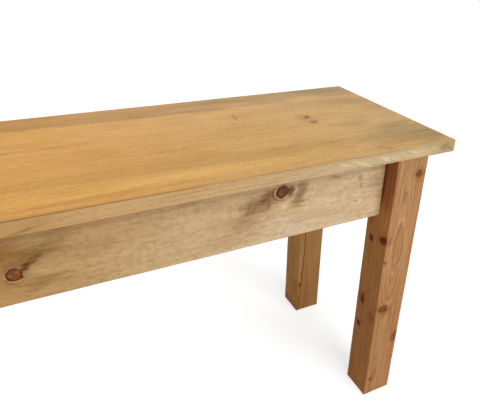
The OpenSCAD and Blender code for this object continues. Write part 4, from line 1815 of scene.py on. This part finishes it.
@dataclass
class Legs:
    """The four square legs, each with a flat inside its top for the hanger bolt."""

    slot: str = "leg_pine"
    flat: float = 6.0
    flat_height: float = 95.0
    overrun: float = 2.0
    front_pith: Flat = (18.0, -36.0)
    back_pith: Flat = (-30.0, -60.0)
    front_right: ClassVar[Sides] = Sides("front_right_leg", 3.0)
    back_right: ClassVar[Sides] = Sides("back_right_leg", 2.0)
    front_left: ClassVar[Sides] = Sides("front_left_leg", 3.0)
    back_left: ClassVar[Sides] = Sides("back_left_leg", 3.0)
    front_right_knots: tuple[Knot, ...] = (
        Knot(front_right.front, (536.7, 296), (12, 50), 60, KnotKind.NONE, swirl=-6),
        Knot(front_right.front, (554.3, 414.5), (5, 5.4), 26, KnotKind.BROWN, swirl=2.6),
        Knot(front_right.front, (527.5, 184.2), (7.6, 5), 14, KnotKind.FAINT, turn=22, groove=0.12),
        Knot(
            front_right.front, (526, 182.6), (5.2, 1.9), 8, KnotKind.BROWN, swirl=0.6, turn=12, groove=0.3,
        ),
        Knot(front_right.front, (561, 115.5), (5.6, 7.2), 12, KnotKind.FAINT, swirl=3.4),
        Knot(front_right.front, (524.3, 33), (2.4, 2.6), 16, KnotKind.BROWN, swirl=2, groove=0.2),
        Knot(front_right.front, (517.6, 274.5), (1.7, 2), 3, KnotKind.FAINT, swirl=2, groove=0.2),
        Knot(front_right.left, (-110.7, 299.5), (3.4, 4.6), 9, KnotKind.DARK, swirl=3),
        Knot(front_right.left, (-138.3, 309.5), (7.4, 5.4), 8, KnotKind.DARK, swirl=4, turn=-30),
        Knot(front_right.left, (-109.5, 183), (3.6, 8.4), 9, KnotKind.DARK, swirl=3),
        Knot(front_right.left, (-106.7, 131), (2.8, 4.6), 12, KnotKind.HOLE, swirl=2, turn=-35, groove=0.1),
        Knot(front_right.right, (-116, 334), (5.2, 6.4), 9, KnotKind.BROWN, swirl=4),
    )
    front_right_stains_and_painted_light: tuple[StainAndPaintedLight, ...] = (
        # Painted light: warms and reddens the whole left side of the leg, which stands in shade.
        StainAndPaintedLight(front_right.left, (-121.5, 220), (60, 400), (1.27, 1.1, 0.78), soft=0.3, ragged=0, depth=1.1),
        StainAndPaintedLight(front_right.front, (536.7, 296), (14.5, 60), (1.18, 1.24, 1.32), soft=0.3, ragged=0.1),
        StainAndPaintedLight(front_right.front, (536.7, 296), (11.5, 51), (0.72, 0.66, 0.6), soft=0.3, ragged=0.15),
        StainAndPaintedLight(front_right.front, (537.5, 297), (6.5, 38), (1.1, 1.12, 1.15), soft=0.4, ragged=0.2),
        StainAndPaintedLight(front_right.front, (557, 300), (7, 80), (1.09, 1.08, 1.08), ragged=0.4),
        StainAndPaintedLight(front_right.front, (534, 188), (4.6, 2), (0.72, 0.6, 0.52), 38, soft=0.6, ragged=0.3),
        StainAndPaintedLight(front_right.front, (528, 178), (12, 18), (0.88, 0.74, 0.64)),
        StainAndPaintedLight(front_right.front, (558, 404), (6, 10), (0.86, 0.74, 0.66)),
        StainAndPaintedLight(front_right.front, (561, 124), (6, 9), (0.82, 0.72, 0.64)),
        StainAndPaintedLight(front_right.front, (531, 45), (9, 22), (0.84, 0.78, 0.7), 4),
        StainAndPaintedLight(front_right.front, (533, 385), (4, 34), (0.84, 0.82, 0.78), 2),
        StainAndPaintedLight(front_right.left, (-137, 165), (15, 18), (0.76, 0.56, 0.58), ragged=0.6, depth=2),
        StainAndPaintedLight(front_right.left, (-116, 140), (8, 3.6), (0.62, 0.48, 0.46), 35, ragged=0.4, depth=2),
        # Painted shade: the next two darken the leg's left side beside the apron and under the seat, most in
        # the corner against the apron's front.
        StainAndPaintedLight(front_right.left, (-130, 400), (25, 70), (0.6, 0.46, 0.56), soft=0.7, ragged=0.3, depth=8),
        StainAndPaintedLight(
            front_right.left, (-122, 400), (5.6, 64), (0.62, 0.54, 0.52), soft=0.8, ragged=0.1, depth=1.5,
        ),
    )
    front_right_checks: tuple[Check, ...] = (
        Check(front_right.left, ((-104.6, 134), (-108.8, 128)), width=4.2, depth=6, waver=0.3),
    )
    back_right_knots: tuple[Knot, ...] = (
        Knot(back_right.front, (520, 66), (2.6, 4), 18, KnotKind.FAINT, swirl=2.5, groove=0.2),
        Knot(back_right.left, (134.5, 13), (2.6, 2.8), 16, KnotKind.DARK, swirl=3, groove=0.2),
        Knot(back_right.back, (548, 342), (5, 5.4), 12, KnotKind.BROWN, swirl=4),
        Knot(back_right.right, (114, 205), (5, 7), 10, KnotKind.FAINT, swirl=4),
    )
    back_right_stains_and_painted_light: tuple[StainAndPaintedLight, ...] = (
        # Painted light: lightens the whole left side of the back leg.
        StainAndPaintedLight(back_right.left, (121.5, 220), (60, 400), (1.49, 1.45, 1.12), soft=0.3, ragged=0, depth=1.1),
        # Painted shade: dark lines down the crack in the leg's front.
        StainAndPaintedLight(back_right.front, (526.6, 168), (1.5, 40), (0.5, 0.4, 0.34), -0.5, soft=0.5, ragged=0.3),
        StainAndPaintedLight(back_right.front, (525.2, 122), (1.4, 34), (0.5, 0.42, 0.36), 2, soft=0.5, ragged=0.2),
        StainAndPaintedLight(back_right.front, (522.8, 72), (1.4, 32), (0.5, 0.42, 0.36), 3, soft=0.5, ragged=0.2),
        StainAndPaintedLight(back_right.front, (520.4, 26), (1.5, 32), (0.46, 0.36, 0.3), 2.6, soft=0.5, ragged=0.2),
        StainAndPaintedLight(back_right.front, (520.4, 110), (3.8, 120), (1.24, 1.26, 1.34), 1.6, soft=0.7, ragged=0.2),
        StainAndPaintedLight(back_right.left, (112, 55), (18, 26), (0.92, 0.74, 0.66), ragged=0.6, depth=3),
        StainAndPaintedLight(back_right.left, (140, 120), (10, 60), (0.88, 0.96, 0.96), depth=3),
        StainAndPaintedLight(back_right.left, (122, 8), (30, 14), (0.82, 0.74, 0.68), ragged=0.6, depth=3),
    )
    back_right_checks: tuple[Check, ...] = (
        Check(
            back_right.front,
            ((526.8, 205), (526.8, 166), (525.4, 126), (524.4, 98), (522.4, 64), (520.8, 38), (519.4, 1)),
            width=1.1, depth=3, waver=0.6,
        ),
    )
    front_left_knots: tuple[Knot, ...] = (
        Knot(front_left.front, (-544, 352), (5, 5.4), 14, KnotKind.BROWN, swirl=3.6),
        Knot(front_left.front, (-530, 96), (6.4, 4.8), 16, KnotKind.FAINT, swirl=3.6, turn=12),
        Knot(front_left.left, (-118, 214), (5.2, 6.2), 10, KnotKind.DARK, swirl=4),
    )
    back_left_knots: tuple[Knot, ...] = (
        Knot(back_left.back, (-541, 268), (5.2, 6), 14, KnotKind.BROWN, swirl=4),
        Knot(back_left.left, (126, 118), (4.2, 5.2), 10, KnotKind.DARK, swirl=4),
    )

    def build(self, shelf: EffectShelf) -> None:
        """Builds the four legs.

        Args:
            shelf: The shared effects.
        """
        marks = {
            "front_right_leg": (self.front_right_knots, self.front_right_stains_and_painted_light, self.front_right_checks),
            "back_right_leg": (self.back_right_knots, self.back_right_stains_and_painted_light, self.back_right_checks),
            "front_left_leg": (self.front_left_knots, (), ()),
            "back_left_leg": (self.back_left_knots, (), ()),
        }
        for turn, (node, (knots, stains_and_painted_light, checks)) in enumerate(marks.items()):
            low, high = corners(node)
            pine, away = (LEG_PINE, self.front_pith) if low.y < 0 else (BACK_LEG_PINE_PAINTED_LIGHT, self.back_pith)
            finish = replace(pine, pith=(0.0, low.x + away[0], low.y + away[1]), seed=pine.seed + turn)
            Timber(
                node, Grain.ALONG_Z, finish, self.slot, arris=1.0, fade=(20.0, 420.0), knots=knots,
                stains_and_painted_light=stains_and_painted_light, checks=checks, cuts=(self._flat(low, high),), pitch=5.0,
            ).build(shelf)

    def _flat(self, low: Vector, high: Vector) -> Cut:
        """Works out the flat across the arris that looks towards the middle of the bench.

        Args:
            low: The leg's lowest corner.
            high: Its highest corner.

        Returns:
            The cut.
        """
        corner = Vector((low.x if low.x > 0 else high.x, low.y if low.y > 0 else high.y, 0.0))
        outwards = Vector((1.0 if corner.x > 0 else -1.0, 1.0 if corner.y > 0 else -1.0, 0.0)).normalized()
        wide = high.x - low.x
        middle = corner + outwards * (self.flat / math.sqrt(2) - wide / 2)
        half = Vector((wide / 2, wide / 2, 0.0))
        start = middle - half + Vector((0.0, 0.0, high.z - self.flat_height))
        end = middle + half + Vector((0.0, 0.0, high.z + self.overrun))
        return Cut(tuple(start), tuple(end), turn=45.0)


@dataclass
class HiddenWood:
    """The corner blocks, battens and buttons, which keep their own solids and take a bare planed pine."""

    slot: str = "inner_pine"
    boards: tuple[tuple[str, Grain, Point], ...] = (
        ("front_left_block", Grain.ALONG_Z, (0.0, -520.0, -140.0)),
        ("front_right_block", Grain.ALONG_Z, (0.0, 540.0, -120.0)),
        ("back_left_block", Grain.ALONG_Z, (0.0, -540.0, 120.0)),
        ("back_right_block", Grain.ALONG_Z, (0.0, 520.0, 130.0)),
        ("left_batten", Grain.ALONG_Y, (0.0, 380.0, -300.0)),
        ("middle_batten", Grain.ALONG_Y, (0.0, 470.0, 10.0)),
        ("right_batten", Grain.ALONG_Y, (0.0, 395.0, 270.0)),
        ("seat_buttons", Grain.ALONG_Y, (0.0, 410.0, 5.0)),
    )

    def build(self, shelf: EffectShelf) -> None:
        """Dresses the nodes.

        Args:
            shelf: The shared effects.
        """
        for seed, (node, grain, pith) in enumerate(self.boards):
            finish = replace(INNER_PINE, pith=pith, seed=INNER_PINE.seed + seed)
            dress_node(node, finish.material(shelf, Board(node, grain, finish, self.slot, arris=0.5)))


@dataclass
class Fixings:
    """The steel fixings, which keep their own solids."""

    nodes: tuple[str, ...] = (
        "hanger_bolts", "bolt_washers", "bolt_nuts", "block_screws", "batten_screws", "button_screws",
    )

    def build(self, shelf: EffectShelf) -> None:
        """Dresses the nodes.

        Args:
            shelf: The shared effects.
        """
        zinc = ZincFinish().material(shelf)
        for node in self.nodes:
            dress_node(node, zinc)


def main() -> None:
    """Builds the bench and the studio.

    The noise is seeded first, because noise_vector otherwise starts from the clock.
    """
    logging.basicConfig(level=logging.INFO, format="%(name)s: %(message)s")
    noise.seed_set(NOISE_SEED)
    shelf = EffectShelf()
    for assembly in (Seat(), ApronFrame(), Legs(), HiddenWood(), Fixings()):
        assembly.build(shelf)
    Studio().build()


if __name__ == "__main__":
    main()
